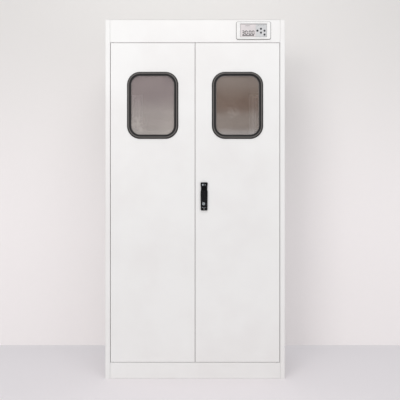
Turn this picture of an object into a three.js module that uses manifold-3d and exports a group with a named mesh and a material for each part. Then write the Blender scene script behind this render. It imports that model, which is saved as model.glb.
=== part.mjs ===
// Two-door steel cabinet that disinfects what hangs or lies in it with ultraviolet tubes.
// Millimetres, +Z up, front towards -Y, origin at the middle of the base of the bounding box.
import * as THREE from 'three';
import { mergeVertices } from 'three/addons/utils/BufferGeometryUtils.js';
import Module from 'manifold-3d';

const wasm = await Module();
wasm.setup();

// Whole cabinet
const cabinetWidth = 900;
const cabinetDepth = 450;
const cabinetHeight = 1800;
const sheet = 1.2;
const bendRadius = 0.8;
const bendMiddleShare = 0.3;
const fitGap = 0.3;
const runGap = 2.5;
const cutOver = 4;
const bendSteps = 2;

// Posts, header, plinth and pans
const postFace = 24;
const stopDepth = 26;
const stopLip = 12;
const rearFlange = 20;
const headerHeight = 115;
const plinthHeight = 82;
const foldDepth = 18;
const panFlange = 16;

// Doors
const doorThickness = 20;
const doorSheet = 1;
const doorLinerFlange = 5;
const pivotInset = 12;
const pivotSetback = 7.5;
const pinRadius = 3;
const pinCollarRadius = 6;
const pinReach = 10;
const pinShank = 16;
const meetingSealDepth = 12;
const meetingSealClear = 0.5;

// Windows
const windowWidth = 215;
const windowHeight = 294;
const windowRadius = 45;
const windowBelowDoorTop = 312.5;
const glassThickness = 5;
const glassBite = 7.5;
const sealFace = 20.5;
const sealProud = 6;
const sealRear = 2.4;
const revealGap = 3;
const windowCornerSteps = 5;

// Pull handle
const handleLength = 140.6;
const handleWidth = 35.5;
const handleProud = 8;
const handleCentreX = 44.8;
const handleAboveDoorMiddle = 30.5;
const handleWaist = 2;
const handleCorner = 5;
const handleEdge = 1.5;
const handleWall = 2;
const pocketWidth = 25;
const pocketHeight = 19;
const pocketDepth = 6;
const gripThickness = 4;
const gripUndercut = 16;
const dishRadius = 14;
const dishDepth = 4;
const grooveHeight = 3;
const grooveDepth = 2.5;
const tailDishDepth = 2;

// Lock cylinder, pinion and lock rods
const lockCentreX = 42.5;
const lockBelowHandle = 37;
const cylinderFaceRadius = 9;
const cylinderFaceThickness = 1.5;
const cylinderProud = 0.5;
const cylinderBodyRadius = 7;
const keySlotWidth = 1.8;
const keySlotLength = 9;
const keySlotDepth = 6;
const shaftRadius = 3.5;
const toothModule = 1;
const pinionTeeth = 18;
const pressureAngle = Math.PI / 9;
const backlash = 0.16;
const rackTeeth = 9;
const rackTeethAhead = 2.5;
const rodWidth = 6;
const rodThickness = 4;
const rodSetback = 9;
const rodTipClear = 1;
const lockCaseHeight = 62;
const lockCaseFoot = 9;

// Shelves and the racks that carry them
const lowestShelf = 450;
const shelfPitch = 365;
const shelfNames = ['lower', 'middle', 'upper'];
const shelfFrontGap = 19;
const shelfDepth = 310;
const shelfRodRadius = 3.5;
const shelfWireRadius = 2;
const shelfCorner = 18;
const shelfWires = 17;
const shelfSideClear = 1;
const shelfBarWidth = 12;
const shelfBarThickness = 4;
const rackUprightWidth = 25;
const rackUprightInset = 25;
const rackOvershoot = 45;
const runnerLedge = 15;
const runnerDrop = 20;

// Lamps
const lampInset = 100;
const lampBelowCeiling = 195;
const lampLength = 895;
const lampRadius = 13;
const lampGlassRadius = 12.6;
const lampCapLength = 22;
const lampPinRadius = 1.2;
const lampPinSpacing = 12.7;
const lampPinLength = 7;
const lampStandoff = 30;
const holderWidth = 24;
const holderThickness = 14;
const holderNose = 12;
const holderNoseSteps = 8;
const reflectorBase = 44;
const reflectorMouth = 78;
const reflectorDepth = 20;
const reflectorSheet = 0.8;
const reflectorOverrun = 26;

// Electrics above the chamber
const fanSize = 80;
const fanDepth = 25;
const fanBoreRadius = 37.5;
const fanTipGap = 1.2;
const fanCorner = 6;
const fanHubRadius = 15;
const fanMotorDepth = 5;
const fanStrutWidth = 5;
const fanBlades = 7;
const fanBladeThickness = 1.6;
const fanBladePitch = Math.PI / 5;
const fanShaftRadius = 2;
const fanScrewRadius = 2.2;
const fanX = -150;
const fanBackInset = 170;
const ballastLength = 210;
const ballastWidth = 42;
const ballastHeight = 28;
const ballastFoot = 9;
const ballastFootThickness = 1.5;
const ballastChamfer = 3;
const ballastX = 130;
const ballastBackInset = 150;
const inletInset = 120;
const inletTopInset = 62;
const inletFlangeWidth = 50;
const inletFlangeHeight = 27;
const inletFlangeThickness = 2.4;
const inletFlangeCorner = 6;
const inletBodyWidth = 28;
const inletBodyHeight = 20.5;
const inletBodyDepth = 22;
const inletSocketWidth = 24.5;
const inletSocketHeight = 16.5;
const inletSocketDepth = 16;
const inletSocketChamfer = 4.5;
const ventSlots = 7;
const ventSlotWidth = 6;
const ventSlotHeight = 46;
const ventPitch = 18;
const ventX = 130;

// Controller in the header
const controllerInset = 133.7;
const controllerAboveMiddle = 1.7;
const bezelWidth = 170;
const bezelHeight = 86;
const bezelProud = 4.5;
const bezelCorner = 7;
const bezelEdge = 1.2;
const faceWidth = 133;
const faceHeight = 67;
const faceCorner = 1.5;
const faceSetback = 1.8;
const facePlateThickness = 3;
const displayWidth = 78.6;
const neckWidth = 158;
const neckHeight = 75;
const neckDepth = 7;
const caseDepth = 30;
const caseWall = 2;
const boardThickness = 1.6;
const boardGap = 3;
const keyRadius = 4.7;
const keyProud = 1.6;
const keyFlange = 1.3;
const keyFlangeThickness = 1;
const keyStemRadius = 1.8;
const keyTravel = 0.8;
const keyPadX = 37.4;
const keyPadDrop = 0.9;
const keyStepX = 17.7;
const keyStepZ = 9.6;
const powerKeyDrop = 19.5;

// Door catches and door switches under the header
const catchWidth = 46;
const catchHeight = 8.5;
const catchX = 62;
const poleThickness = 1.2;
const switchWidth = 30;
const switchX = 130;
const catchCorner = 1.5;

// Places that follow from the sizes above
const rearProud = Math.max(0, inletFlangeThickness - sheet);
const front = (handleProud + cylinderProud - cabinetDepth - rearProud) / 2;
const rear = front + cabinetDepth;
const outerX = cabinetWidth / 2;
const postInnerX = outerX - postFace;
const lipInnerX = postInnerX - stopLip;
const panelTop = cabinetHeight - sheet - fitGap;
const headerBottom = cabinetHeight - headerHeight;
const stopFace = front + stopDepth;
const stopBack = stopFace + sheet;
const panFront = stopBack + fitGap;
const backPanelRear = rear - sheet - fitGap;
const backPanelFront = backPanelRear - sheet;
const backPanelX = outerX - sheet - fitGap;
const panHalf = backPanelX - sheet - fitGap;
const panRear = backPanelFront - fitGap;
const doorBottom = plinthHeight + runGap;
const doorTop = headerBottom - runGap;
const doorOuterX = postInnerX - runGap;
const doorMeetX = runGap / 2;
const doorRear = front + doorThickness;
const pivotX = doorOuterX - pivotInset;
const pivotY = front + pivotSetback;
const windowX = (doorOuterX + doorMeetX) / 2;
const windowCentreHeight = doorTop - windowBelowDoorTop;
const controllerX = postInnerX - controllerInset;
const lampX = outerX - lampInset;
const inletX = inletInset - outerX;
const handleCentreHeight = (doorBottom + doorTop) / 2 + handleAboveDoorMiddle;
const lockCentreHeight = handleCentreHeight - lockBelowHandle;
const controllerHeight = (headerBottom + cabinetHeight) / 2 + controllerAboveMiddle;
const shelfLevels = shelfNames.map((_, i) => lowestShelf + i * shelfPitch);
const lampBottom = headerBottom - lampBelowCeiling - lampLength;
const pitchRadius = toothModule * pinionTeeth / 2;
const rodInnerOffset = pitchRadius + toothModule * 5 / 4;
const rodOuterOffset = rodInnerOffset + rodWidth;
const rodMidOffset = (rodInnerOffset + rodOuterOffset) / 2;
const rodFront = front + rodSetback;
const rodBack = rodFront + rodThickness;
const upperRodX = lockCentreX - rodMidOffset;
const lowerRodX = lockCentreX + rodMidOffset;
const lampY = backPanelFront - lampStandoff;
const ceilingTop = headerBottom + sheet;
const cornerClear = fitGap + bendRadius;

// Materials, one for each kind of surface
const paint = { color: 0xf1f0ee, roughness: 0.42, metalness: 0 };
const galvanised = { color: 0xb9bcbe, roughness: 0.45, metalness: 0.8 };
const stainless = { color: 0xc9cbcd, roughness: 0.25, metalness: 1 };
const polished = { color: 0xdfe2e5, roughness: 0.12, metalness: 1 };
const steel = { color: 0x9a9c9e, roughness: 0.4, metalness: 0.9 };
const blackPlastic = { color: 0x232325, roughness: 0.5, metalness: 0 };
const sealRubber = { color: 0x3e3e3f, roughness: 0.7, metalness: 0 };
const stripRubber = { color: 0x2a2a2b, roughness: 0.6, metalness: 0 };
const greySeal = { color: 0x9c9c9a, roughness: 0.8, metalness: 0 };
const tintedGlass = { color: 0x8f8987, roughness: 0.05, metalness: 0 };
const quartz = { color: 0xe6ebf2, roughness: 0.08, metalness: 0 };
const whitePlastic = { color: 0xf4f3f0, roughness: 0.4, metalness: 0 };
const greyPlastic = { color: 0xc9c9c8, roughness: 0.45, metalness: 0 };
const displayLens = { color: 0xd9d2d2, roughness: 0.15, metalness: 0 };
const keyRubber = { color: 0x55585b, roughness: 0.6, metalness: 0 };
const board = { color: 0x2c5b3c, roughness: 0.5, metalness: 0 };

const cabinet = new THREE.Group();

// Adds one named piece with a material of its own.
function piece(name, solid, look, place = [0, 0, 0]) {
  const mesh = new THREE.Mesh(toGeometry(solid), new THREE.MeshStandardMaterial(look));
  mesh.name = name;
  mesh.position.set(...place);
  cabinet.add(mesh);
}

// Solid for cutting and joining, from a closed three.js geometry.
function toSolid(geometry) {
  geometry.deleteAttribute('normal');
  geometry.deleteAttribute('uv');
  const merged = mergeVertices(geometry);
  return new wasm.Manifold(new wasm.Mesh({
    numProp: 3,
    vertProperties: Float32Array.from(merged.attributes.position.array),
    triVerts: Uint32Array.from(merged.index.array),
  }));
}

function toGeometry(solid) {
  const mesh = solid.getMesh();
  const geometry = new THREE.BufferGeometry();
  geometry.setAttribute('position', new THREE.BufferAttribute(mesh.vertProperties, 3));
  geometry.setIndex(new THREE.BufferAttribute(mesh.triVerts, 1));
  geometry.computeVertexNormals();
  return geometry;
}

function join(solids) {
  return solids.reduce((whole, next) => whole.add(next));
}

function cut(solid, tools) {
  return tools.reduce((whole, tool) => whole.subtract(tool), solid);
}

// Box between two values on each axis, given in either order.
function block(xs, ys, zs) {
  const spans = [xs, ys, zs];
  const geometry = new THREE.BoxGeometry(...spans.map(([a, b]) => Math.abs(b - a)));
  geometry.translate(...spans.map(([a, b]) => (a + b) / 2));
  return toSolid(geometry);
}

function shapeOf(outline, holes) {
  const shape = new THREE.Shape(outline.map(([u, v]) => new THREE.Vector2(u, v)));
  shape.holes = holes.map((hole) => new THREE.Path(hole.map(([u, v]) => new THREE.Vector2(u, v))));
  return shape;
}

// Outline in X and Y, drawn out along Z.
function prismZ(outline, [low, high], holes = []) {
  const geometry = new THREE.ExtrudeGeometry(shapeOf(outline, holes), {
    depth: high - low,
    bevelEnabled: false,
  });
  geometry.translate(0, 0, low);
  return toSolid(geometry);
}

// Outline in Y and Z, drawn out along X.
function prismX(outline, [low, high]) {
  const geometry = new THREE.ExtrudeGeometry(shapeOf(outline, []), {
    depth: high - low,
    bevelEnabled: false,
  });
  geometry.applyMatrix4(new THREE.Matrix4().makeBasis(
    new THREE.Vector3(0, 1, 0), new THREE.Vector3(0, 0, 1), new THREE.Vector3(1, 0, 0)));
  geometry.translate(low, 0, 0);
  return toSolid(geometry);
}

// Outline in X and Z, drawn out along Y, with rounded front edges where an edge size is given.
function prismY(outline, [low, high], holes = [], edge = 0) {
  const geometry = new THREE.ExtrudeGeometry(shapeOf(outline, holes), {
    depth: high - low - edge,
    bevelEnabled: edge > 0,
    bevelSize: edge,
    bevelOffset: -edge,
    bevelThickness: edge,
    bevelSegments: 2,
  });
  geometry.applyMatrix4(new THREE.Matrix4().makeBasis(
    new THREE.Vector3(1, 0, 0), new THREE.Vector3(0, 0, 1), new THREE.Vector3(0, -1, 0)));
  geometry.translate(0, high, 0);
  const solid = toSolid(geometry);
  if (edge === 0) {
    return solid;
  }
  const box = solid.boundingBox();
  const behind = block(
    [box.min[0] - cutOver, box.max[0] + cutOver],
    [high, high + edge + cutOver],
    [box.min[2] - cutOver, box.max[2] + cutOver]);
  return solid.subtract(behind);
}

// Profile of radius and height, turned about the Z axis.
function turnedZ(profile, sides) {
  const geometry = new THREE.LatheGeometry(profile.map(([r, h]) => new THREE.Vector2(r, h)), sides);
  geometry.rotateX(Math.PI / 2);
  return toSolid(geometry);
}

// Profile of radius and depth, turned about the Y axis.
function turnedY(profile, sides) {
  const geometry = new THREE.LatheGeometry(profile.map(([r, d]) => new THREE.Vector2(r, d)), sides);
  return toSolid(geometry);
}

function rodProfile(radius, low, high) {
  return [[0, low], [radius, low], [radius, high], [0, high]];
}

// Straight rod between two points.
function rodBetween(start, end, radius, sides) {
  const from = new THREE.Vector3(...start);
  const along = new THREE.Vector3(...end).sub(from);
  const geometry = new THREE.CylinderGeometry(radius, radius, along.length(), sides);
  geometry.translate(0, along.length() / 2, 0);
  geometry.applyQuaternion(new THREE.Quaternion().setFromUnitVectors(
    new THREE.Vector3(0, 1, 0), along.clone().normalize()));
  geometry.translate(from.x, from.y, from.z);
  return toSolid(geometry);
}

// Section of a folded sheet. The path is the face on the right hand of the walk,
// the metal lies on the left, and every fold has the same inside radius.
function bentStrip(path, thickness = sheet) {
  const points = path.map(([u, v]) => new THREE.Vector2(u, v));
  const faceSide = [];
  const backSide = [];
  points.forEach((point, i) => {
    const before = i > 0 ? point.clone().sub(points[i - 1]).normalize() : null;
    const after = i < points.length - 1 ? points[i + 1].clone().sub(point).normalize() : null;
    if (!before || !after) {
      const along = before || after;
      faceSide.push([point.x, point.y]);
      backSide.push([point.x - along.y * thickness, point.y + along.x * thickness]);
      return;
    }
    const turn = Math.sign(before.cross(after));
    const faceRadius = turn > 0 ? bendRadius + thickness : bendRadius;
    const backRadius = turn > 0 ? bendRadius : bendRadius + thickness;
    const angle = Math.acos(before.dot(after));
    const setback = faceRadius * Math.tan(angle / 2);
    const inward = new THREE.Vector2(-before.y, before.x).multiplyScalar(turn);
    const centre = point.clone().addScaledVector(before, -setback).addScaledVector(inward, faceRadius);
    for (let step = 0; step <= bendSteps; step += 1) {
      const swept = turn * angle * step / bendSteps;
      const radial = inward.clone().negate().rotateAround(new THREE.Vector2(), swept);
      faceSide.push([centre.x + radial.x * faceRadius, centre.y + radial.y * faceRadius]);
      backSide.push([centre.x + radial.x * backRadius, centre.y + radial.y * backRadius]);
    }
  });
  return [...faceSide, ...backSide.reverse()];
}

// Rounded rectangle: its points and the way out from the middle at each of them.
function roundedLoop(centre, width, height, radius, steps) {
  const loop = [];
  [[1, 1], [-1, 1], [-1, -1], [1, -1]].forEach(([sideU, sideV], corner) => {
    for (let step = 0; step <= steps; step += 1) {
      const angle = (corner + step / steps) * Math.PI / 2;
      const out = [Math.cos(angle), Math.sin(angle)];
      const cornerU = centre[0] + sideU * (width / 2 - radius);
      const cornerV = centre[1] + sideV * (height / 2 - radius);
      loop.push({ out, at: [cornerU + radius * out[0], cornerV + radius * out[1]] });
    }
  });
  return loop;
}

function roundedOutline(centre, width, height, radius, steps = 3) {
  return roundedLoop(centre, width, height, radius, steps).map(({ at }) => at);
}

function circleOutline([u, v], radius, sides) {
  return Array.from({ length: sides }, (_, i) => {
    const angle = 2 * Math.PI * i / sides;
    return [u + radius * Math.cos(angle), v + radius * Math.sin(angle)];
  });
}

// Closed section of outward and depth values, carried round a loop that lies in one plane.
function sweptRing(loop, section, toPoint) {
  const positions = [];
  loop.forEach(({ at, out }) => section.forEach(([outward, depth]) => {
    positions.push(...toPoint(at[0] + out[0] * outward, at[1] + out[1] * outward, depth));
  }));
  const indices = [];
  const count = section.length;
  for (let i = 0; i < loop.length; i += 1) {
    for (let j = 0; j < count; j += 1) {
      const here = i * count;
      const next = ((i + 1) % loop.length) * count;
      const up = (j + 1) % count;
      indices.push(here + j, next + j, next + up, here + j, next + up, here + up);
    }
  }
  const geometry = new THREE.BufferGeometry();
  geometry.setAttribute('position', new THREE.Float32BufferAttribute(positions, 3));
  geometry.setIndex(indices);
  const ring = toSolid(geometry);
  return ring.volume() > 0 ? ring : toSolid(turnedOver(geometry));
}

function turnedOver(geometry) {
  const flipped = geometry.clone();
  const index = Array.from(geometry.index.array);
  for (let i = 0; i < index.length; i += 3) {
    [index[i + 1], index[i + 2]] = [index[i + 2], index[i + 1]];
  }
  flipped.setIndex(index);
  return flipped;
}

const inFront = (u, v, depth) => [u, depth, v];
const lyingFlat = (u, v, depth) => [u, v, depth];

// Side panel: post face, return and stop lip in front, flange behind, folded from one sheet.
function makeSidePanel(name, side) {
  const section = bentStrip([
    [lipInnerX, stopFace],
    [postInnerX, stopFace],
    [postInnerX, front],
    [outerX, front],
    [outerX, rear],
    [outerX - rearFlange, rear],
  ]);
  piece(name, prismZ(section.map(([x, y]) => [side * x, y]), [0, panelTop]), paint);
}

makeSidePanel('side_panel_left', -1);
makeSidePanel('side_panel_right', 1);

// Back panel, with the hole for the mains inlet and the vent slots of the electrics
const inletHeight = cabinetHeight - inletTopInset;
const inletHole = roundedOutline(
  [inletX, inletHeight], inletBodyWidth + 2 * fitGap, inletBodyHeight + 2 * fitGap, fitGap, 1);
const ventTools = Array.from({ length: ventSlots }, (_, i) => prismY(
  roundedOutline(
    [ventX + (i - (ventSlots - 1) / 2) * ventPitch, inletHeight],
    ventSlotWidth, ventSlotHeight, ventSlotWidth / 2, 2),
  [backPanelFront - cutOver, backPanelRear + cutOver]));
piece('back_panel', cut(
  prismZ(bentStrip([
    [backPanelX, backPanelRear - foldDepth],
    [backPanelX, backPanelRear],
    [-backPanelX, backPanelRear],
    [-backPanelX, backPanelRear - foldDepth],
  ]), [0, panelTop]),
  [prismY(inletHole, [backPanelFront - cutOver, backPanelRear + cutOver]), ...ventTools]), paint);

// Top cover: a flat sheet with a locating flange inside each side panel
const coverFlanges = [-1, 1].map((side) => block(
  [side * backPanelX, side * (backPanelX - sheet)],
  [panFront, backPanelRear - foldDepth - fitGap],
  [cabinetHeight - sheet / 2, cabinetHeight - sheet - foldDepth]));
piece('top_cover', join([
  block([-outerX, outerX], [front, rear], [cabinetHeight - sheet, cabinetHeight]),
  ...coverFlanges,
]), paint);

// Holes that the pivot pins and the two lock rods pass through
const pinHoleRadius = pinRadius + fitGap;
const pinHole = (side, heights) => prismZ(
  circleOutline([side * pivotX, pivotY], pinHoleRadius, 16), heights);
const rodHole = (x, heights, clear = 2 * fitGap) => block(
  [x - rodWidth / 2 - clear, x + rodWidth / 2 + clear],
  [rodFront - clear, rodBack + clear],
  heights);

// Header: fascia, ledge over the doors and the stop lip behind them
const fasciaHalf = postInnerX - fitGap;
const ledgeSpan = [headerBottom - cutOver, headerBottom + cutOver];
piece('header_fascia', cut(
  prismX(bentStrip([
    [front + foldDepth, panelTop],
    [front, panelTop],
    [front, headerBottom],
    [stopFace, headerBottom],
    [stopFace, headerBottom - stopLip],
  ]), [-fasciaHalf, fasciaHalf]),
  [
    prismY(roundedOutline([controllerX, controllerHeight],
      neckWidth + 2 * fitGap, neckHeight + 2 * fitGap, bezelCorner / 2),
    [front - cutOver, front + cutOver]),
    // the stop lip ends short of the lips on the posts
    ...[-1, 1].map((side) => block(
      [side * (lipInnerX - fitGap), side * (fasciaHalf + cutOver)],
      [stopFace - cornerClear, stopBack + cutOver],
      [headerBottom - stopLip - cutOver, headerBottom + cutOver])),
    pinHole(-1, ledgeSpan),
    pinHole(1, ledgeSpan),
    rodHole(upperRodX, ledgeSpan),
  ]), paint);

// Plinth under the doors
const sillSpan = [plinthHeight - cutOver, plinthHeight + cutOver];
piece('plinth_front', cut(
  prismX(bentStrip([
    [stopFace - cornerClear, plinthHeight],
    [front, plinthHeight],
    [front, 0],
    [stopFace - cornerClear, 0],
  ]), [-fasciaHalf, fasciaHalf]),
  [pinHole(-1, sillSpan), pinHole(1, sillSpan), rodHole(lowerRodX, sillSpan)]), paint);

// Chamber floor: its front edge stands up behind the doors as their stop
piece('chamber_floor', cut(
  prismX(bentStrip([
    [stopFace, plinthHeight + stopLip],
    [stopFace, plinthHeight - sheet],
    [panRear, plinthHeight - sheet],
    [panRear, plinthHeight + panFlange],
  ]), [-panHalf, panHalf]),
  [-1, 1].map((side) => block(
    [side * (lipInnerX - fitGap), side * (panHalf + cutOver)],
    [stopFace - cutOver, panFront],
    [plinthHeight - cutOver, plinthHeight + stopLip + cutOver]))), paint);

// Chamber ceiling, which carries the electrics
const fanY = rear - fanBackInset;
piece('chamber_ceiling', cut(
  prismX(bentStrip([
    [panFront, headerBottom + panFlange],
    [panFront, headerBottom],
    [panRear, headerBottom],
    [panRear, headerBottom + panFlange],
  ]), [-panHalf, panHalf]),
  [prismZ(circleOutline([fanX, fanY], fanBoreRadius, 24), ledgeSpan)]), paint);

// Side racks: two channel uprights with a ledge for each shelf
const shelfFront = panFront + shelfFrontGap;
const shelfRear = shelfFront + shelfDepth;
const uprightPlaces = [
  shelfFront + rackUprightInset,
  shelfRear - rackUprightInset - rackUprightWidth,
];

function makeSideRack(name, side) {
  const wallX = outerX - sheet - fitGap;
  const mirrored = (section) => section.map(([x, other]) => [side * x, other]);
  const uprights = uprightPlaces.map((y) => prismZ(mirrored(bentStrip([
    [wallX, y + rackUprightWidth],
    [lipInnerX, y + rackUprightWidth],
    [lipInnerX, y],
    [wallX, y],
  ])), [shelfLevels[0] - rackOvershoot, shelfLevels.at(-1) + rackOvershoot]));
  const ledgeX = lipInnerX + sheet / 2;
  const ledges = shelfLevels.map((level) => prismY(mirrored(bentStrip([
    [ledgeX, level - runnerDrop],
    [ledgeX, level],
    [ledgeX - runnerLedge, level],
  ])), [shelfFront, shelfRear]));
  piece(name, join([...uprights, ...ledges]), stainless);
}

makeSideRack('side_rack_left', -1);
makeSideRack('side_rack_right', 1);

// Wire shelf: a bent rod frame, wires from front to rear and a flat bar under them
const shelfHalf = lipInnerX - shelfSideClear;

function wireShelf() {
  const middleY = (shelfFront + shelfRear) / 2;
  const frameLoop = roundedLoop(
    [0, middleY], 2 * (shelfHalf - shelfRodRadius), shelfDepth - 2 * shelfRodRadius, shelfCorner, 3);
  const frame = sweptRing(frameLoop, circleOutline([0, 0], shelfRodRadius, 6), lyingFlat);
  const wireSpan = 2 * (shelfHalf - runnerLedge - shelfCorner);
  const wireXs = Array.from({ length: shelfWires }, (_, i) => wireSpan * (i / (shelfWires - 1) - 1 / 2));
  const wires = wireXs.map((x) => rodBetween(
    [x, shelfFront + shelfRodRadius, 0], [x, shelfRear - shelfRodRadius, 0], shelfWireRadius, 4));
  const barTop = -shelfWireRadius / 2;
  const bar = block(
    [-wireSpan / 2 - shelfBarWidth, wireSpan / 2 + shelfBarWidth],
    [middleY - shelfBarWidth / 2, middleY + shelfBarWidth / 2],
    [barTop - shelfBarThickness, barTop]);
  return join([frame, ...wires, bar]);
}

const shelfSolid = wireShelf();
shelfNames.forEach((name, i) => {
  const restHeight = shelfLevels[i] + fitGap + shelfRodRadius;
  piece(`wire_shelf_${name}`, shelfSolid, stainless, [0, 0, restHeight]);
});

// Ultraviolet tube with its two metal caps and four contact pins
function lampSolid() {
  const tube = turnedZ([
    [0, 0],
    [lampRadius, 0],
    [lampRadius, lampCapLength],
    [lampGlassRadius, lampCapLength],
    [lampGlassRadius, lampLength - lampCapLength],
    [lampRadius, lampLength - lampCapLength],
    [lampRadius, lampLength],
    [0, lampLength],
  ], 16);
  const pins = [-1, 1].map((side) => rodBetween(
    [side * lampPinSpacing / 2, 0, -lampPinLength],
    [side * lampPinSpacing / 2, 0, lampPinLength],
    lampPinRadius, 6));
  const farPins = pins.map((pin) => pin.translate([0, 0, lampLength]));
  return join([tube, ...pins, ...farPins]);
}

// Lampholder: a post with a round nose and a pocket for the pins, facing up
const pinPocketRadius = lampPinSpacing / 2 + lampPinRadius + fitGap;

function lampholderSolid(facing) {
  const depthBehind = lampStandoff - fitGap - reflectorSheet - fitGap;
  const nose = Array.from({ length: holderNoseSteps + 1 }, (_, i) => {
    const angle = -Math.PI * i / holderNoseSteps;
    return [holderWidth / 2 * Math.cos(angle), holderNose * Math.sin(angle)];
  });
  const outline = [[-holderWidth / 2, depthBehind], [holderWidth / 2, depthBehind], ...nose];
  const body = prismZ(outline, [-holderThickness / 2, holderThickness / 2]);
  const mouth = facing * holderThickness / 2;
  const heights = [mouth + facing * cutOver, mouth - facing * (lampPinLength + fitGap)];
  return body.subtract(prismZ(circleOutline([0, 0], pinPocketRadius, 16), heights.sort((a, b) => a - b)));
}

const lampTop = lampBottom + lampLength;
const holderOffset = holderThickness / 2 + fitGap;
const upFacing = lampholderSolid(1);
const downFacing = lampholderSolid(-1);
const lamp = lampSolid();

function makeLamp(sideName, side) {
  const x = side * lampX;
  piece(`uv_lamp_${sideName}`, lamp, quartz, [x, lampY, lampBottom]);
  piece(`lampholder_lower_${sideName}`, upFacing, whitePlastic, [x, lampY, lampBottom - holderOffset]);
  piece(`lampholder_upper_${sideName}`, downFacing, whitePlastic, [x, lampY, lampTop + holderOffset]);
  const baseY = panRear;
  const trough = bentStrip([
    [x + reflectorMouth / 2, baseY - reflectorDepth],
    [x + reflectorBase / 2, baseY],
    [x - reflectorBase / 2, baseY],
    [x - reflectorMouth / 2, baseY - reflectorDepth],
  ], reflectorSheet);
  piece(`lamp_reflector_${sideName}`,
    prismZ(trough, [lampBottom - reflectorOverrun, lampTop + reflectorOverrun]), polished);
}

makeLamp('left', -1);
makeLamp('right', 1);

// Axial fan that stirs the air of the chamber
const fanBase = ceilingTop + fitGap;
const motorBase = fanDepth - fanMotorDepth;
const fanScrewOffset = fanSize / 2 - fanCorner;
const fanHoles = [[1, 1], [-1, 1], [-1, -1], [1, -1]].map(([a, b]) => (
  circleOutline([a * fanScrewOffset, b * fanScrewOffset], fanScrewRadius, 6)));
const fanStruts = [0, 1, 2].map((i) => {
  const angle = 2 * Math.PI * i / 3 + Math.PI / 6;
  const bar = block(
    [fanShaftRadius + fanStrutWidth, fanBoreRadius + fanStrutWidth / 2],
    [-fanStrutWidth / 2, fanStrutWidth / 2],
    [motorBase, fanDepth]);
  return bar.rotate([0, 0, angle * 180 / Math.PI]);
});
const fanMotor = prismZ(circleOutline([0, 0], fanHubRadius, 16), [motorBase, fanDepth],
  [circleOutline([0, 0], fanShaftRadius + fitGap, 12)]);
const fanFrame = prismZ(
  roundedOutline([0, 0], fanSize, fanSize, fanCorner, 2), [0, fanDepth],
  [circleOutline([0, 0], fanBoreRadius, 24), ...fanHoles]);
piece('fan_housing', join([fanFrame, fanMotor, ...fanStruts]), blackPlastic, [fanX, fanY, fanBase]);

// Fan rotor: hub, twisted blades and the shaft that runs in the motor
const rotorTop = motorBase - 2 * fitGap;
const bladeReach = fanBoreRadius - fanTipGap;
const hub = prismZ(circleOutline([0, 0], fanHubRadius, 16), [fanTipGap, rotorTop]);
const bladeHeight = rotorTop - 2 * fanTipGap;
const bladeChord = bladeHeight / Math.sin(fanBladePitch);
const bladeTrim = prismZ(circleOutline([0, 0], bladeReach, 24), [fanTipGap, rotorTop]);
const blades = Array.from({ length: fanBlades }, (_, i) => {
  const blade = block(
    [fanHubRadius - fanBladeThickness, fanBoreRadius],
    [-bladeChord / 2, bladeChord / 2],
    [-fanBladeThickness / 2, fanBladeThickness / 2]);
  return blade
    .rotate([fanBladePitch * 180 / Math.PI, 0, 0])
    .translate([0, 0, (fanTipGap + rotorTop) / 2])
    .rotate([0, 0, 360 * i / fanBlades]);
});
const rotorShaft = rodBetween([0, 0, rotorTop / 2], [0, 0, fanDepth - fitGap], fanShaftRadius, 12);
piece('fan_rotor', join([hub, join(blades).intersect(bladeTrim), rotorShaft]), blackPlastic,
  [fanX, fanY, fanBase]);

// Ballast on the chamber ceiling
const ballastY = rear - ballastBackInset;
const ballastHalf = ballastWidth / 2;
const ballastSection = [
  [-ballastHalf - ballastFoot, 0],
  [ballastHalf + ballastFoot, 0],
  [ballastHalf + ballastFoot, ballastFootThickness],
  [ballastHalf, ballastFootThickness],
  [ballastHalf, ballastHeight - ballastChamfer],
  [ballastHalf - ballastChamfer, ballastHeight],
  [-ballastHalf + ballastChamfer, ballastHeight],
  [-ballastHalf, ballastHeight - ballastChamfer],
  [-ballastHalf, ballastFootThickness],
  [-ballastHalf - ballastFoot, ballastFootThickness],
];
piece('ballast', prismX(ballastSection, [-ballastLength / 2, ballastLength / 2]), galvanised,
  [ballastX, ballastY, ceilingTop + fitGap]);

// Mains inlet, let into the back panel from behind
const socketHalfWidth = inletSocketWidth / 2;
const socketHalfHeight = inletSocketHeight / 2;
const inletMouth = backPanelRear + fitGap + inletFlangeThickness;
const socketOutline = [
  [-socketHalfWidth, -socketHalfHeight],
  [socketHalfWidth, -socketHalfHeight],
  [socketHalfWidth, socketHalfHeight - inletSocketChamfer],
  [socketHalfWidth - inletSocketChamfer, socketHalfHeight],
  [-socketHalfWidth + inletSocketChamfer, socketHalfHeight],
  [-socketHalfWidth, socketHalfHeight - inletSocketChamfer],
];
piece('mains_inlet', cut(
  join([
    prismY(roundedOutline([0, 0], inletFlangeWidth, inletFlangeHeight, inletFlangeCorner),
      [inletMouth - inletFlangeThickness, inletMouth]),
    block(
      [-inletBodyWidth / 2, inletBodyWidth / 2],
      [inletMouth - inletFlangeThickness / 2, inletMouth - inletBodyDepth],
      [-inletBodyHeight / 2, inletBodyHeight / 2]),
  ]),
  [prismY(socketOutline, [inletMouth - inletSocketDepth, inletMouth + cutOver])]),
blackPlastic, [inletX, 0, inletHeight]);

// Controller bezel: the frame on the header and the neck that goes through it
const faceCentre = [controllerX, controllerHeight];
const faceOutline = roundedOutline(faceCentre, faceWidth, faceHeight, faceCorner, 2);
piece('controller_bezel', join([
  prismY(roundedOutline(faceCentre, bezelWidth, bezelHeight, bezelCorner, 4),
    [front - fitGap - bezelProud, front - fitGap], [faceOutline], bezelEdge),
  prismY(roundedOutline(faceCentre, neckWidth, neckHeight, bezelCorner / 2),
    [front - fitGap - bezelProud / 2, front + neckDepth], [faceOutline]),
]), whitePlastic);

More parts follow.
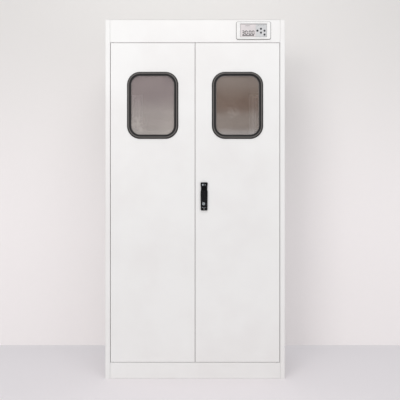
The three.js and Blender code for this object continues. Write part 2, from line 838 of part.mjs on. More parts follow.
// Display window and keypad plate, side by side in the bezel
const faceLeft = controllerX - faceWidth / 2;
const faceFront = front - bezelProud + faceSetback;
const faceSpan = [faceFront, faceFront + facePlateThickness];
const plateHeight = faceHeight - 2 * fitGap;
const displayPlateWidth = displayWidth - 2 * fitGap;
const padWidth = faceWidth - displayWidth - fitGap;
const keyPlaces = {
  key_left: [-keyStepX, 0],
  key_right: [keyStepX, 0],
  key_up: [0, keyStepZ],
  key_down: [0, -keyStepZ],
  key_power: [keyStepX, -powerKeyDrop],
};
const keyCentre = ([dx, dz]) => [controllerX + keyPadX + dx, controllerHeight - keyPadDrop + dz];
const keyHoles = Object.values(keyPlaces).map((place) => (
  circleOutline(keyCentre(place), keyRadius + 2 * fitGap, 12)));
piece('display_window', prismY(
  roundedOutline([faceLeft + fitGap + displayPlateWidth / 2, controllerHeight],
    displayPlateWidth, plateHeight, faceCorner, 2), faceSpan), displayLens);
piece('keypad_plate', prismY(
  roundedOutline([faceLeft + displayWidth + padWidth / 2, controllerHeight],
    padWidth, plateHeight, faceCorner, 2), faceSpan, keyHoles), greyPlastic);

// Keys: a cap in the plate, a flange behind it and a stem to the board
const boardFront = faceSpan[1] + boardGap + keyFlangeThickness;
const keyBack = faceSpan[1] + fitGap;
const keyProfile = [
  [0, faceFront - keyProud],
  [keyRadius * 3 / 4, faceFront - keyProud],
  [keyRadius, faceFront - keyProud * 2 / 3],
  [keyRadius, keyBack],
  [keyRadius + keyFlange, keyBack],
  [keyRadius + keyFlange, keyBack + keyFlangeThickness],
  [keyStemRadius, keyBack + keyFlangeThickness],
  [keyStemRadius, boardFront - keyTravel - fitGap],
  [0, boardFront - keyTravel - fitGap],
];
const keySolid = turnedY(keyProfile, 12);
Object.entries(keyPlaces).forEach(([name, place]) => {
  const [x, z] = keyCentre(place);
  piece(name, keySolid, keyRubber, [x, 0, z]);
});

// Case behind the header, open in front, with the circuit board in its mouth
const caseFront = front + neckDepth + fitGap;
const caseWidth = neckWidth;
const caseHeight = neckHeight;
const boardSpan = [boardFront, boardFront + boardThickness];
piece('controller_case', cut(
  prismY(
    roundedOutline(faceCentre, caseWidth, caseHeight, bezelCorner / 2),
    [caseFront, caseFront + caseDepth]),
  [block(
    [controllerX - caseWidth / 2 + caseWall, controllerX + caseWidth / 2 - caseWall],
    [caseFront - cutOver, caseFront + caseDepth - caseWall],
    [controllerHeight - caseHeight / 2 + caseWall, controllerHeight + caseHeight / 2 - caseWall])]),
blackPlastic);
piece('circuit_board', prismY(
  roundedOutline(faceCentre, faceWidth - 2 * fitGap, plateHeight, faceCorner, 2), boardSpan), board);

// Magnetic door catches and magnetic door switches on the header's stop lip
const catchSpan = [doorRear + fitGap, stopFace - fitGap];
const catchCentreHeight = doorTop - catchHeight / 2 - fitGap;

function makeCatch(name, x) {
  const body = prismY(roundedOutline([x, catchCentreHeight], catchWidth, catchHeight, catchCorner, 1),
    [catchSpan[0] + poleThickness, catchSpan[1]]);
  const poles = [-1, 1].map((side) => block(
    [x - catchWidth / 3, x + catchWidth / 3],
    [catchSpan[0], catchSpan[0] + 2 * poleThickness],
    [
      catchCentreHeight + side * catchHeight / 4,
      catchCentreHeight + side * (catchHeight / 4 + poleThickness),
    ]));
  piece(name, join([body, ...poles]), whitePlastic);
}

function makeDoorSwitch(name, x) {
  const outline = roundedOutline([x, catchCentreHeight], switchWidth, catchHeight, catchCorner, 2);
  const body = prismY(outline, catchSpan);
  const screwWells = [-1, 1].map((side) => turnedY(
    rodProfile(catchHeight / 5, catchSpan[0] - cutOver, catchSpan[0] + poleThickness), 10)
    .translate([x + side * switchWidth / 3, 0, catchCentreHeight]));
  piece(name, cut(body, screwWells), whitePlastic);
}

makeCatch('door_catch_left', -catchX);
makeCatch('door_catch_right', catchX);
makeDoorSwitch('door_switch_left', -switchX);
makeDoorSwitch('door_switch_right', switchX);

// Pull handle: one moulding with a finger pocket, a grip over it, a lock seat and a tail
const handleTop = handleCentreHeight + handleLength / 2;
const handleBottom = handleCentreHeight - handleLength / 2;
const handleFace = front - handleProud;
const handleSpan = [handleFace, front - fitGap];
const headHeightShare = 0.15;
const pocketTop = handleTop - handleLength * headHeightShare;
const pocketBottom = pocketTop - pocketHeight;
const pocketFloor = front + pocketDepth;

function handleOutline() {
  const half = handleWidth / 2;
  const neck = half - handleWaist;
  const waistShares = [0.18, 0.24, 0.3];
  const levels = waistShares.map((share) => handleTop - handleLength * share);
  const rim = roundedOutline(
    [handleCentreX, handleCentreHeight], handleWidth, handleLength, handleCorner, 3);
  const leftWaist = [
    [handleCentreX - half, levels[0]],
    [handleCentreX - neck, levels[1]],
    [handleCentreX - half + handleWaist / 2, levels[2]],
  ];
  const rightWaist = leftWaist.map(([x, z]) => [2 * handleCentreX - x, z]).reverse();
  const cornerPoints = rim.length / 4;
  return [
    ...rim.slice(0, 2 * cornerPoints),
    ...leftWaist,
    ...rim.slice(2 * cornerPoints),
    ...rightWaist,
  ];
}

const pocketX = [handleCentreX - pocketWidth / 2, handleCentreX + pocketWidth / 2];
const pocketShell = block(
  [pocketX[0] - handleWall, pocketX[1] + handleWall],
  [handleFace + handleProud / 2, pocketFloor + handleWall],
  [pocketBottom - gripUndercut - handleWall, pocketTop + handleWall]);
const pocketHollow = block(pocketX, [handleFace - cutOver, pocketFloor], [pocketBottom, pocketTop]);
const underGrip = block(
  pocketX,
  [handleFace + gripThickness, pocketFloor],
  [pocketBottom - gripUndercut, pocketBottom + cutOver]);
const thumbDish = new THREE.SphereGeometry(dishRadius, 16, 12);
thumbDish.translate(
  handleCentreX,
  handleFace - dishRadius + dishDepth,
  handleTop - handleLength * headHeightShare / 2);
const grooveLevel = lockCentreHeight - cylinderFaceRadius - grooveHeight;
const groove = block(
  [handleCentreX - handleWidth, handleCentreX + handleWidth],
  [handleFace - cutOver, handleFace + grooveDepth],
  [grooveLevel, grooveLevel - grooveHeight]);
const tailLevels = [grooveLevel - 2 * grooveHeight, handleBottom + grooveHeight];
const tailDish = block(
  [handleCentreX - handleWidth / 4, handleCentreX + handleWidth / 4],
  [handleFace - cutOver, handleFace + tailDishDepth],
  tailLevels);
const cylinderBoreProfile = rodProfile(cylinderBodyRadius + fitGap, handleFace - cutOver, front + cutOver);
const cylinderBore = turnedY(cylinderBoreProfile, 24).translate([lockCentreX, 0, lockCentreHeight]);
const faceSeat = turnedY(
  rodProfile(cylinderFaceRadius + fitGap, handleFace - cutOver, handleFace + cylinderFaceThickness), 24)
  .translate([lockCentreX, 0, lockCentreHeight]);
piece('handle_housing', cut(
  join([prismY(handleOutline(), handleSpan, [], handleEdge), pocketShell]),
  [pocketHollow, underGrip, toSolid(thumbDish), groove, tailDish, cylinderBore, faceSeat]), blackPlastic);

// Lock cylinder: face with the key slot, body through the door, shaft for the pinion
const pinionSpan = [rodFront, rodBack];
const lockCaseFace = rodBack + fitGap;
const cylinderProfile = [
  [0, handleFace - cylinderProud],
  [cylinderFaceRadius - cylinderProud, handleFace - cylinderProud],
  [cylinderFaceRadius, handleFace],
  [cylinderFaceRadius, handleFace + cylinderFaceThickness - fitGap],
  [cylinderBodyRadius, handleFace + cylinderFaceThickness - fitGap],
  [cylinderBodyRadius, pinionSpan[0] - fitGap],
  [shaftRadius, pinionSpan[0] - fitGap],
  [shaftRadius, lockCaseFace + sheet],
  [0, lockCaseFace + sheet],
];
const keySlot = block(
  [-keySlotWidth / 2, keySlotWidth / 2],
  [handleFace - cutOver, handleFace + keySlotDepth],
  [-keySlotLength / 2, keySlotLength / 2]);
piece(
  'lock_cylinder',
  cut(turnedY(cylinderProfile, 18), [keySlot]),
  steel,
  [lockCentreX, 0, lockCentreHeight]);

// Pinion with involute teeth, in mesh with a rack on each side
function pinionOutline() {
  const baseRadius = pitchRadius * Math.cos(pressureAngle);
  const tipRadius = pitchRadius + toothModule;
  const rootRadius = pitchRadius - toothModule * 5 / 4;
  const involute = (radius) => {
    const slope = Math.acos(baseRadius / radius);
    return Math.tan(slope) - slope;
  };
  const halfAtPitch = Math.PI / (2 * pinionTeeth) - backlash / 2 / pitchRadius;
  const flankSteps = 2;
  const flank = Array.from({ length: flankSteps + 1 }, (_, i) => {
    const radius = baseRadius + (tipRadius - baseRadius) * i / flankSteps;
    return { radius, half: halfAtPitch + involute(pitchRadius) - involute(radius) };
  });
  flank.unshift({ radius: rootRadius, half: flank[0].half });
  const outline = [];
  for (let tooth = 0; tooth < pinionTeeth; tooth += 1) {
    const middle = 2 * Math.PI * tooth / pinionTeeth;
    const rising = flank.map(({ radius, half }) => [radius, middle - half]);
    const falling = [...flank].reverse().map(({ radius, half }) => [radius, middle + half]);
    [...rising, ...falling].forEach(([radius, angle]) => {
      outline.push([radius * Math.cos(angle), radius * Math.sin(angle)]);
    });
  }
  return outline;
}

piece('lock_pinion', prismY(pinionOutline(), pinionSpan, [circleOutline([0, 0], shaftRadius + fitGap, 16)]),
  steel, [lockCentreX, 0, lockCentreHeight]);

// Lock rod: a flat bar whose lower or upper end is the rack
function rodOutline(side, way, farEnd) {
  const pitch = Math.PI * toothModule;
  const tip = pitchRadius - toothModule;
  const halfAtPitch = pitch / 4 - backlash / 2;
  const lean = Math.tan(pressureAngle);
  const tipHalf = halfAtPitch - toothModule * lean;
  const rootHalf = halfAtPitch + toothModule * 5 / 4 * lean;
  const rackEnd = (rackTeethAhead - rackTeeth) * pitch - pitch / 2;
  const teeth = [];
  for (let tooth = 0; tooth < rackTeeth; tooth += 1) {
    const middle = (rackTeethAhead - rackTeeth + tooth) * pitch;
    teeth.push([rodInnerOffset, middle - rootHalf], [tip, middle - tipHalf]);
    teeth.push([tip, middle + tipHalf], [rodInnerOffset, middle + rootHalf]);
  }
  const reach = way * (farEnd - lockCentreHeight);
  const outline = [
    [rodOuterOffset, rackEnd],
    [rodInnerOffset, rackEnd],
    ...teeth,
    [rodInnerOffset, reach],
    [rodOuterOffset, reach],
  ];
  return outline.map(([offset, height]) => [
    lockCentreX + side * offset,
    lockCentreHeight + way * height,
  ]);
}

piece('upper_rod', prismY(rodOutline(-1, 1, doorTop - rodTipClear), pinionSpan), galvanised);
piece('lower_rod', prismY(rodOutline(1, -1, doorBottom + rodTipClear), pinionSpan), galvanised);

// Case of the lock drive: a hat section on the back of the door skin
const caseHalf = rodOuterOffset + fitGap + sheet;
const skinBack = front + doorSheet;
const lockCasePath = [
  [caseHalf + lockCaseFoot, skinBack + fitGap + sheet],
  [caseHalf, skinBack + fitGap + sheet],
  [caseHalf, lockCaseFace + sheet],
  [-caseHalf, lockCaseFace + sheet],
  [-caseHalf, skinBack + fitGap + sheet],
  [-caseHalf - lockCaseFoot, skinBack + fitGap + sheet],
];
piece('lock_case', cut(
  prismZ(bentStrip(lockCasePath), [-lockCaseHeight / 2, lockCaseHeight / 2]),
  [turnedY(rodProfile(shaftRadius + fitGap, lockCaseFace - cutOver, lockCaseFace + cutOver), 16)]),
galvanised, [lockCentreX, 0, lockCentreHeight]);

// Section of the glazing seal: nose with a groove for the strip, and slots for skin and glass
const webShare = 0.4;
const webWidthShare = 0.2;
const webInner = sealFace * webShare;
const webOuter = sealFace * (webShare + webWidthShare);
const stripShares = [0.17, 0.44];
const stripFloorShare = 0.3;
const stripFloor = -sealProud * stripFloorShare;
const stripSpan = stripShares.map((share) => sealFace * share);
const noseShares = [[0.48, 0.8], [0.6, 1], [0.8, 1], [0.97, 0.6]];
const sealSection = [
  [0, -fitGap],
  [0, -sealProud / 4],
  [stripSpan[0], -sealProud * 2 / 3],
  [stripSpan[0], stripFloor],
  [stripSpan[1], stripFloor],
  ...noseShares.map(([outShare, proudShare]) => [sealFace * outShare, -sealProud * proudShare]),
  [sealFace, -fitGap],
  [webOuter, -fitGap],
  [webOuter, doorSheet + fitGap],
  [sealFace, doorSheet + fitGap],
  [sealFace, doorSheet + sealRear],
  [webOuter, glassThickness + sealRear],
  [0, glassThickness + sealRear],
  [0, glassThickness + fitGap],
  [webInner, glassThickness + fitGap],
  [webInner, -fitGap],
];
const stripSection = [
  [stripSpan[0] + fitGap, stripFloor - fitGap],
  [stripSpan[1] - fitGap, stripFloor - fitGap],
  [stripSpan[1] - fitGap, -sealProud * 2 / 3],
  [(stripSpan[0] + stripSpan[1]) / 2, -sealProud * 3 / 4],
  [stripSpan[0] + fitGap, -sealProud * 2 / 3],
];
const onFront = (section) => section.map(([outward, depth]) => [outward, front + depth]);

// One door: skin, liner, window with its seal, and two pivot pins
function makeDoor(sideName, side, extraCuts) {
  const xs = [side * doorMeetX, side * doorOuterX];
  const inset = (clear) => [side * (doorMeetX + clear), side * (doorOuterX - clear)];
  const windowCentre = [side * windowX, windowCentreHeight];
  const windowOutline = (grow) => roundedOutline(windowCentre,
    windowWidth + 2 * grow, windowHeight + 2 * grow, windowRadius + grow, windowCornerSteps);
  const edgeRadius = bendRadius + doorSheet;
  const edges = [
    [xs[0], doorRear],
    [xs[0], front + edgeRadius],
    [xs[0] + side * edgeRadius * bendMiddleShare, front + edgeRadius * bendMiddleShare],
    [xs[0] + side * edgeRadius, front],
    [xs[1] - side * edgeRadius, front],
    [xs[1] - side * edgeRadius * bendMiddleShare, front + edgeRadius * bendMiddleShare],
    [xs[1], front + edgeRadius],
    [xs[1], doorRear],
  ];
  const skin = cut(prismZ(edges, [doorBottom, doorTop]), [
    block(inset(doorSheet), [skinBack, doorRear + cutOver], [doorBottom + doorSheet, doorTop - doorSheet]),
    prismY(windowOutline(webOuter + fitGap), [front - cutOver, skinBack + cutOver]),
    pinHole(side, [doorBottom - cutOver, doorBottom + cutOver]),
    pinHole(side, [doorTop - cutOver, doorTop + cutOver]),
    ...extraCuts,
  ]);
  piece(`${sideName}_door_skin`, skin, paint);

  const linerClear = doorSheet + fitGap;
  const linerOuter = block(inset(linerClear), [doorRear - doorLinerFlange, doorRear],
    [doorBottom + linerClear, doorTop - linerClear]);
  const linerInner = block(inset(linerClear + doorSheet),
    [doorRear - doorLinerFlange - cutOver, doorRear - doorSheet],
    [doorBottom + linerClear + doorSheet, doorTop - linerClear - doorSheet]);
  const reveal = sealFace + revealGap;
  const liner = cut(linerOuter, [linerInner])
    .add(prismY(windowOutline(reveal + doorSheet), [skinBack + fitGap, doorRear]))
    .subtract(prismY(windowOutline(reveal), [skinBack - cutOver, doorRear + cutOver]));
  piece(`${sideName}_door_liner`, liner, paint);

  piece(`${sideName}_window_glass`,
    prismY(windowOutline(glassBite), [front, front + glassThickness]), tintedGlass);
  const loop = roundedLoop(windowCentre, windowWidth, windowHeight, windowRadius, windowCornerSteps);
  piece(`${sideName}_window_seal`, sweptRing(loop, onFront(sealSection), inFront), sealRubber);
  piece(`${sideName}_seal_strip`, sweptRing(loop, onFront(stripSection), inFront), stripRubber);

  const pinProfile = (way) => [
    [0, -way * (pinReach + runGap)],
    [pinRadius, -way * (pinReach + runGap)],
    [pinRadius, -way * (runGap - fitGap)],
    [pinCollarRadius, -way * (runGap - fitGap)],
    [pinCollarRadius, -way * fitGap],
    [pinRadius, -way * fitGap],
    [pinRadius, way * pinShank],
    [0, way * pinShank],
  ];
  const upright = (profile, way) => turnedZ(way > 0 ? profile : [...profile].reverse(), 12);
  piece(`${sideName}_pin_lower`, upright(pinProfile(1), 1), steel, [side * pivotX, pivotY, doorBottom]);
  piece(`${sideName}_pin_upper`, upright(pinProfile(-1), -1), steel, [side * pivotX, pivotY, doorTop]);
}

makeDoor('left', -1, []);
makeDoor('right', 1, [
  rodHole(upperRodX, [doorTop - cutOver, doorTop + cutOver]),
  rodHole(lowerRodX, [doorBottom - cutOver, doorBottom + cutOver]),
  block(
    [pocketX[0] - handleWall - fitGap, pocketX[1] + handleWall + fitGap],
    [front - cutOver, front + cutOver],
    [pocketBottom - gripUndercut - handleWall - fitGap, pocketTop + handleWall + fitGap]),
  turnedY(rodProfile(cylinderBodyRadius + fitGap, front - cutOver, front + cutOver), 24)
    .translate([lockCentreX, 0, lockCentreHeight]),
]);

// Soft seal on the meeting edge of the right door
const meetingSealFront = front + (doorThickness - meetingSealDepth) / 2;
piece('meeting_seal', block(
  [doorMeetX - fitGap, -doorMeetX + meetingSealClear],
  [meetingSealFront, meetingSealFront + meetingSealDepth],
  [doorBottom, doorTop]), greySeal);

export default cabinet;
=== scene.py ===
# Ultraviolet sterilizer cabinet: looks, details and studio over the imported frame.
# Metres, Z up, doors towards -Y.
import math

import bmesh
import bpy
from mathutils import Matrix, Vector


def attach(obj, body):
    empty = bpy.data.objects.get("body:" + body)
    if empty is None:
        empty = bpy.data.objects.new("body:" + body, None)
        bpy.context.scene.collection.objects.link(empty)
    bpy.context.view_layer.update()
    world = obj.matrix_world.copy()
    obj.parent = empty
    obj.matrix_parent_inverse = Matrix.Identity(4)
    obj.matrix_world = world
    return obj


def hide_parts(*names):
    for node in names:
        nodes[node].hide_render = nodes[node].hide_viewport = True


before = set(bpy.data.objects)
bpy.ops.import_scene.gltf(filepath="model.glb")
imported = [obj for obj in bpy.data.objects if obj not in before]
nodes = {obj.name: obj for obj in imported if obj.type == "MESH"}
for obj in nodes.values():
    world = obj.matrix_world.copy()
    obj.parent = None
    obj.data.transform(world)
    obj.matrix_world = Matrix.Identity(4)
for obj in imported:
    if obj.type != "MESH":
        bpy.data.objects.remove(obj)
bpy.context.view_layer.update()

scene = bpy.context.scene
scene.view_settings.view_transform = "Standard"
print("frame loaded:", len(nodes), "CAD nodes")


# camera
photo = {
    "eye": (0.0245, -2.7314, 0.896),   # level with the pull handle
    "lens": 45.1,
    "sensor": 36.0,
}
cameraData = bpy.data.cameras.new("camera")
cameraData.lens = photo["lens"]
cameraData.sensor_width = photo["sensor"]
camera = bpy.data.objects.new("camera", cameraData)
camera.location = photo["eye"]
camera.rotation_euler = (math.radians(90), 0, 0)
scene.collection.objects.link(camera)
scene.camera = camera


def linear(red, green, blue):   # screen values 0 to 255 into the scene's linear colour
    def one(value):
        value /= 255
        return value / 12.92 if value <= 0.04045 else ((value + 0.055) / 1.055) ** 2.4
    return (one(red), one(green), one(blue), 1.0)


# shader helpers: sums on sockets read like sums on numbers
class Val:
    def __init__(self, shade, socket):
        self.shade = shade
        self.socket = socket

    def maths(self, operation, first, second):
        return self.shade.node("ShaderNodeMath", {"operation": operation}, [first, second])

    def __add__(self, other):
        return self.maths("ADD", self, other)

    def __sub__(self, other):
        return self.maths("SUBTRACT", self, other)

    def __rsub__(self, other):
        return self.maths("SUBTRACT", other, self)

    def __mul__(self, other):
        return self.maths("MULTIPLY", self, other)

    def __pow__(self, other):
        return self.maths("POWER", self, other)

    def rise(self, low, high, start=0.0, end=1.0):   # soft step from start to end between low and high
        settings = {"interpolation_type": "SMOOTHSTEP"}
        return self.shade.node("ShaderNodeMapRange", settings, [self, low, high, start, end])


class Shade:
    def __init__(self, name):
        self.material = bpy.data.materials.new(name)
        self.material.use_nodes = True
        self.tree = self.material.node_tree
        self.tree.nodes.clear()

    def node(self, kind, settings=None, values=(), out=0):
        new = self.tree.nodes.new(kind)
        for key, value in (settings or {}).items():
            setattr(new, key, value)
        pairs = values.items() if isinstance(values, dict) else enumerate(values)
        for key, value in pairs:
            if isinstance(value, Val):
                self.tree.links.new(value.socket, new.inputs[key])
            elif value is not None:
                new.inputs[key].default_value = value
        return Val(self, new.outputs[out])

    def place(self, scale=(1, 1, 1), turn=(0, 0, 0)):   # place on the piece
        spot = self.node("ShaderNodeTexCoord", out="Object")
        if scale == (1, 1, 1) and turn == (0, 0, 0):
            return spot
        return self.node("ShaderNodeMapping", None, {"Vector": spot, "Rotation": turn, "Scale": scale})

    def axes(self):   # the three lengths of the place, in metres
        split = self.node("ShaderNodeSeparateXYZ", None, [self.place()])
        return [Val(self, length) for length in split.socket.node.outputs]

    def noise(self, scale, detail=2.0, rough=0.5, spot=None):
        spot = spot or self.place()
        return self.node("ShaderNodeTexNoise", None,
                         {"Vector": spot, "Scale": scale, "Detail": detail, "Roughness": rough})

    def blend(self, share, first, second):   # 0, 6 and 7 are the sockets of the share and the two colours
        return self.node("ShaderNodeMix", {"data_type": "RGBA"}, {0: share, 6: first, 7: second}, 2)

    def soften(self, radius):   # the normal with its sharp edges rounded off
        return self.node("ShaderNodeBevel", {"samples": 4}, [radius])

    def edges(self, radius):   # 1 along convex and concave edges, 0 on flat ground
        rounded = self.soften(radius)
        plain = self.node("ShaderNodeNewGeometry", out="Normal")
        same = self.node("ShaderNodeVectorMath", {"operation": "DOT_PRODUCT"}, [rounded, plain], "Value")
        return (1 - same).rise(0.01, 0.12)

    def bump(self, height, strength, distance, normal=None):
        return self.node("ShaderNodeBump", None,
                         {"Strength": strength, "Distance": distance, "Height": height, "Normal": normal})

    def surface(self, **values):   # a Principled surface; keys are its sockets with _ for a space
        inputs = {key.replace("_", " "): value for key, value in values.items()}
        return self.node("ShaderNodeBsdfPrincipled", None, inputs)

    def done(self, shader):
        output = self.tree.nodes.new("ShaderNodeOutputMaterial")
        self.tree.links.new(shader.socket, output.inputs["Surface"])
        return self.material


# finishes: every look has its main, shaded and edge tone as screen values
def toneSet(look):   # the tones of a look as linear colours
    return [linear(*tone) for tone in look["tones"]]


def paintFinish(name, look):   # powder coat: orange peel, faint clouding, a little dirt in the folds
    s = Shade(name)
    clouds = s.noise(3.1, 3.0, 0.6)
    specks = s.noise(620.0, 2.0, 0.6)
    peel = s.noise(260.0, 2.0, 0.45)
    rim = s.edges(0.0016)
    tone, shadeTone, edgeTone = toneSet(look)
    colour = s.blend(clouds.rise(0.35, 0.7), tone, shadeTone)
    colour = s.blend(specks.rise(0.62, 0.8) * 0.10, colour, shadeTone)
    colour = s.blend(rim * look["wear"], colour, edgeTone)
    normal = s.bump(peel, look["peel"], 0.0004, s.soften(0.0009))
    return s.done(s.surface(Base_Color=colour, Roughness=clouds * 0.08 + look["rough"] + specks * 0.04,
                            Normal=normal, IOR=1.5, Coat_Weight=0.15, Coat_Roughness=0.12))


white = paintFinish("powderCoatWhite", {
    "tones": ((239, 238, 236), (235, 233, 231), (222, 218, 214)), "wear": 0.35, "rough": 0.30, "peel": 0.12})


def metalFinish(name, look):   # satin metal with fine drawn lines along one axis
    s = Shade(name)
    lines = s.noise(1.0, 3.0, 0.7, s.place(look["grain"]))
    clouds = s.noise(look["cloud"], 4.0, 0.6)
    rim = s.edges(look["edge"])
    tone, shadeTone, edgeTone = toneSet(look)
    colour = s.blend(clouds.rise(0.3, 0.7), tone, shadeTone)
    colour = s.blend(rim * 0.5, colour, edgeTone)
    rough = lines * 0.12 + clouds * 0.10 + look["rough"]
    normal = s.bump(lines, look["bump"], 0.0003, s.soften(look["edge"]))
    return s.done(s.surface(Base_Color=colour, Metallic=1.0, Roughness=rough, Normal=normal))


stainless = metalFinish("satinStainless", {
    "tones": ((198, 198, 200), (176, 177, 180), (222, 222, 224)),
    "grain": (900, 900, 40), "cloud": 30.0, "edge": 0.0006, "rough": 0.24, "bump": 0.10})
liningSteel = metalFinish("liningSteel", {
    "tones": ((180, 175, 168), (166, 160, 153), (205, 200, 196)),
    "grain": (420, 420, 6), "cloud": 3.0, "edge": 0.0004, "rough": 0.24, "bump": 0.08})
turnedSteel = metalFinish("turnedSteel", {
    "tones": ((168, 168, 170), (134, 133, 133), (205, 205, 206)),
    "grain": (1500, 200, 1500), "cloud": 160.0, "edge": 0.0003, "rough": 0.22, "bump": 0.12})
satinChrome = metalFinish("satinChrome", {
    "tones": ((184, 188, 190), (160, 165, 167), (214, 216, 217)),
    "grain": (2400, 300, 2400), "cloud": 120.0, "edge": 0.0005, "rough": 0.16, "bump": 0.08})
reflectorMetal = metalFinish("satinReflector", {
    "tones": ((240, 241, 242), (230, 231, 233), (246, 246, 247)),
    "grain": (1200, 1200, 12), "cloud": 14.0, "edge": 0.0005, "rough": 0.42, "bump": 0.05})
capMetal = metalFinish("capAluminium", {
    "tones": ((206, 207, 210), (186, 187, 191), (228, 228, 230)),
    "grain": (300, 300, 1800), "cloud": 90.0, "edge": 0.0005, "rough": 0.26, "bump": 0.12})
filamentMetal = metalFinish("filamentMetal", {
    "tones": ((120, 118, 114), (92, 90, 87), (160, 158, 155)),
    "grain": (2400, 2400, 2400), "cloud": 500.0, "edge": 0.0002, "rough": 0.34, "bump": 0.10})
darkScrew = metalFinish("darkScrew", {
    "tones": ((116, 114, 112), (100, 98, 96), (140, 138, 136)),
    "grain": (1500, 1500, 1500), "cloud": 200.0, "edge": 0.0003, "rough": 0.30, "bump": 0.08})


def zincFinish(name, look):   # zinc plate: crystal patches of grey, and haze in the last tone
    s = Shade(name)
    patch = s.node("ShaderNodeTexVoronoi", None,
                   {"Vector": s.place(), "Scale": look["patch"], "Randomness": 1.0}, "Color")
    tint = s.node("ShaderNodeSeparateColor", None, [patch])
    haze = s.noise(55.0, 3.0, 0.6)
    rim = s.edges(0.0004)
    tone, shadeTone, edgeTone, hazeTone = toneSet(look)
    colour = s.blend(tint, tone, shadeTone)
    colour = s.blend(haze.rise(0.5, 0.8) * 0.35, colour, hazeTone)
    colour = s.blend(rim * 0.5, colour, edgeTone)
    return s.done(s.surface(Base_Color=colour, Metallic=0.9, Roughness=tint * 0.16 + haze * 0.1 + 0.28,
                            Normal=s.bump(haze, 0.12, 0.0003, s.soften(0.0005))))


galvanised = zincFinish("zincPlate", {
    "tones": ((186, 188, 190), (160, 162, 166), (214, 214, 214), (200, 200, 198)), "patch": 240.0})


def plasticFinish(name, look):   # moulded plastic: spark-eroded grain, clouding, rubbed edges, on the black plastic also a painted highlight
    s = Shade(name)
    grain = s.noise(look["grain"], 3.0, 0.6)
    clouds = s.noise(look["cloud"], 3.0, 0.55)
    rim = s.edges(look["edge"])
    tone, shadeTone, edgeTone = toneSet(look)
    colour = s.blend(clouds.rise(0.3, 0.7), tone, shadeTone)
    if "sheenCrest" in look:   # painted sheen: paler where it stands furthest out
        start, end = look["sheenCrest"]
        colour = s.blend((0 - s.axes()[1]).rise(start, end), colour, look["sheenCrestTone"])
    # edges in the edge tone: rubbing, and on the black plastic a painted highlight as well
    colour = s.blend(rim * look["wear"], colour, edgeTone)
    rough = clouds * 0.08 + grain * 0.10 + look["rough"]
    normal = s.bump(grain, look["bump"], 0.0002, s.soften(look["edge"]))
    return s.done(s.surface(Base_Color=colour, Roughness=rough, Normal=normal, IOR=1.5,
                            Specular_IOR_Level=look["shine"]))


# its pale edge tone is rubbing and also a painted highlight along its edges
blackPlastic = plasticFinish("blackMoulded", {
    "tones": ((17, 17, 19), (13, 13, 15), (84, 84, 86)),
    "grain": 1400.0, "cloud": 45.0, "edge": 0.0009, "wear": 0.6, "rough": 0.36, "bump": 0.20, "shine": 0.12})
whitePlastic = plasticFinish("whiteMoulded", {
    "tones": ((237, 236, 234), (231, 230, 228), (220, 216, 212)),
    "grain": 900.0, "cloud": 25.0, "edge": 0.0010, "wear": 0.3, "rough": 0.34, "bump": 0.10, "shine": 0.45})
greyPlastic = plasticFinish("greyKeypad", {
    "tones": ((206, 206, 206), (196, 197, 198), (172, 172, 172)),
    "grain": 1600.0, "cloud": 60.0, "edge": 0.0006, "wear": 0.4, "rough": 0.42, "bump": 0.18, "shine": 0.4})
keyRubber = plasticFinish("keyRubber", {
    "tones": ((74, 76, 79), (62, 64, 67), (104, 105, 107)),
    "grain": 2200.0, "cloud": 200.0, "edge": 0.0006, "wear": 0.5, "rough": 0.55, "bump": 0.20, "shine": 0.25})
# its paler crest is a painted sheen on the seal's face
sealRubber = plasticFinish("sealRubber", {
    "tones": ((43, 42, 41), (36, 35, 34), (68, 66, 64)),
    "sheenCrest": (0.22670, 0.22730), "sheenCrestTone": linear(100, 96, 93),
    "grain": 1100.0, "cloud": 22.0, "edge": 0.0008, "wear": 0.35, "rough": 0.46, "bump": 0.22, "shine": 0.3})
stripRubber = plasticFinish("stripRubber", {
    "tones": ((32, 31, 32), (25, 24, 25), (50, 48, 48)),
    "grain": 1100.0, "cloud": 22.0, "edge": 0.0006, "wear": 0.35, "rough": 0.44, "bump": 0.18, "shine": 0.3})
greySeal = plasticFinish("greySeal", {
    "tones": ((176, 175, 174), (160, 159, 158), (190, 189, 188)),
    "grain": 1300.0, "cloud": 18.0, "edge": 0.0004, "wear": 0.3, "rough": 0.75, "bump": 0.5, "shine": 0.2})
# grey rubber for the painted shadow lines round the bezel and the display
shadowGreyRubber = plasticFinish("shadowGreyRubber", {
    "tones": ((138, 136, 135), (126, 124, 123), (156, 154, 152)),
    "grain": 1300.0, "cloud": 60.0, "edge": 0.0004, "wear": 0.3, "rough": 0.6, "bump": 0.3, "shine": 0.2})
# sealant bead round the pane; its pale tone is partly a painted highlight along the pane's edge
sealantWithSheen = plasticFinish("sealantWithSheen", {
    "tones": ((126, 119, 116), (116, 109, 106), (142, 136, 133)),
    "grain": 500.0, "cloud": 30.0, "edge": 0.0004, "wear": 0.2, "rough": 0.30, "bump": 0.10, "shine": 0.5})
readoutInk = plasticFinish("readoutInk", {
    "tones": ((46, 46, 45), (54, 54, 53), (70, 70, 69)),
    "grain": 1500.0, "cloud": 150.0, "edge": 0.0002, "wear": 0.2, "rough": 0.30, "bump": 0.05, "shine": 0.3})
signalLens = plasticFinish("signalLens", {
    "tones": ((112, 116, 114), (100, 105, 103), (150, 150, 148)),
    "grain": 1800.0, "cloud": 300.0, "edge": 0.0003, "wear": 0.3, "rough": 0.22, "bump": 0.04, "shine": 0.5})


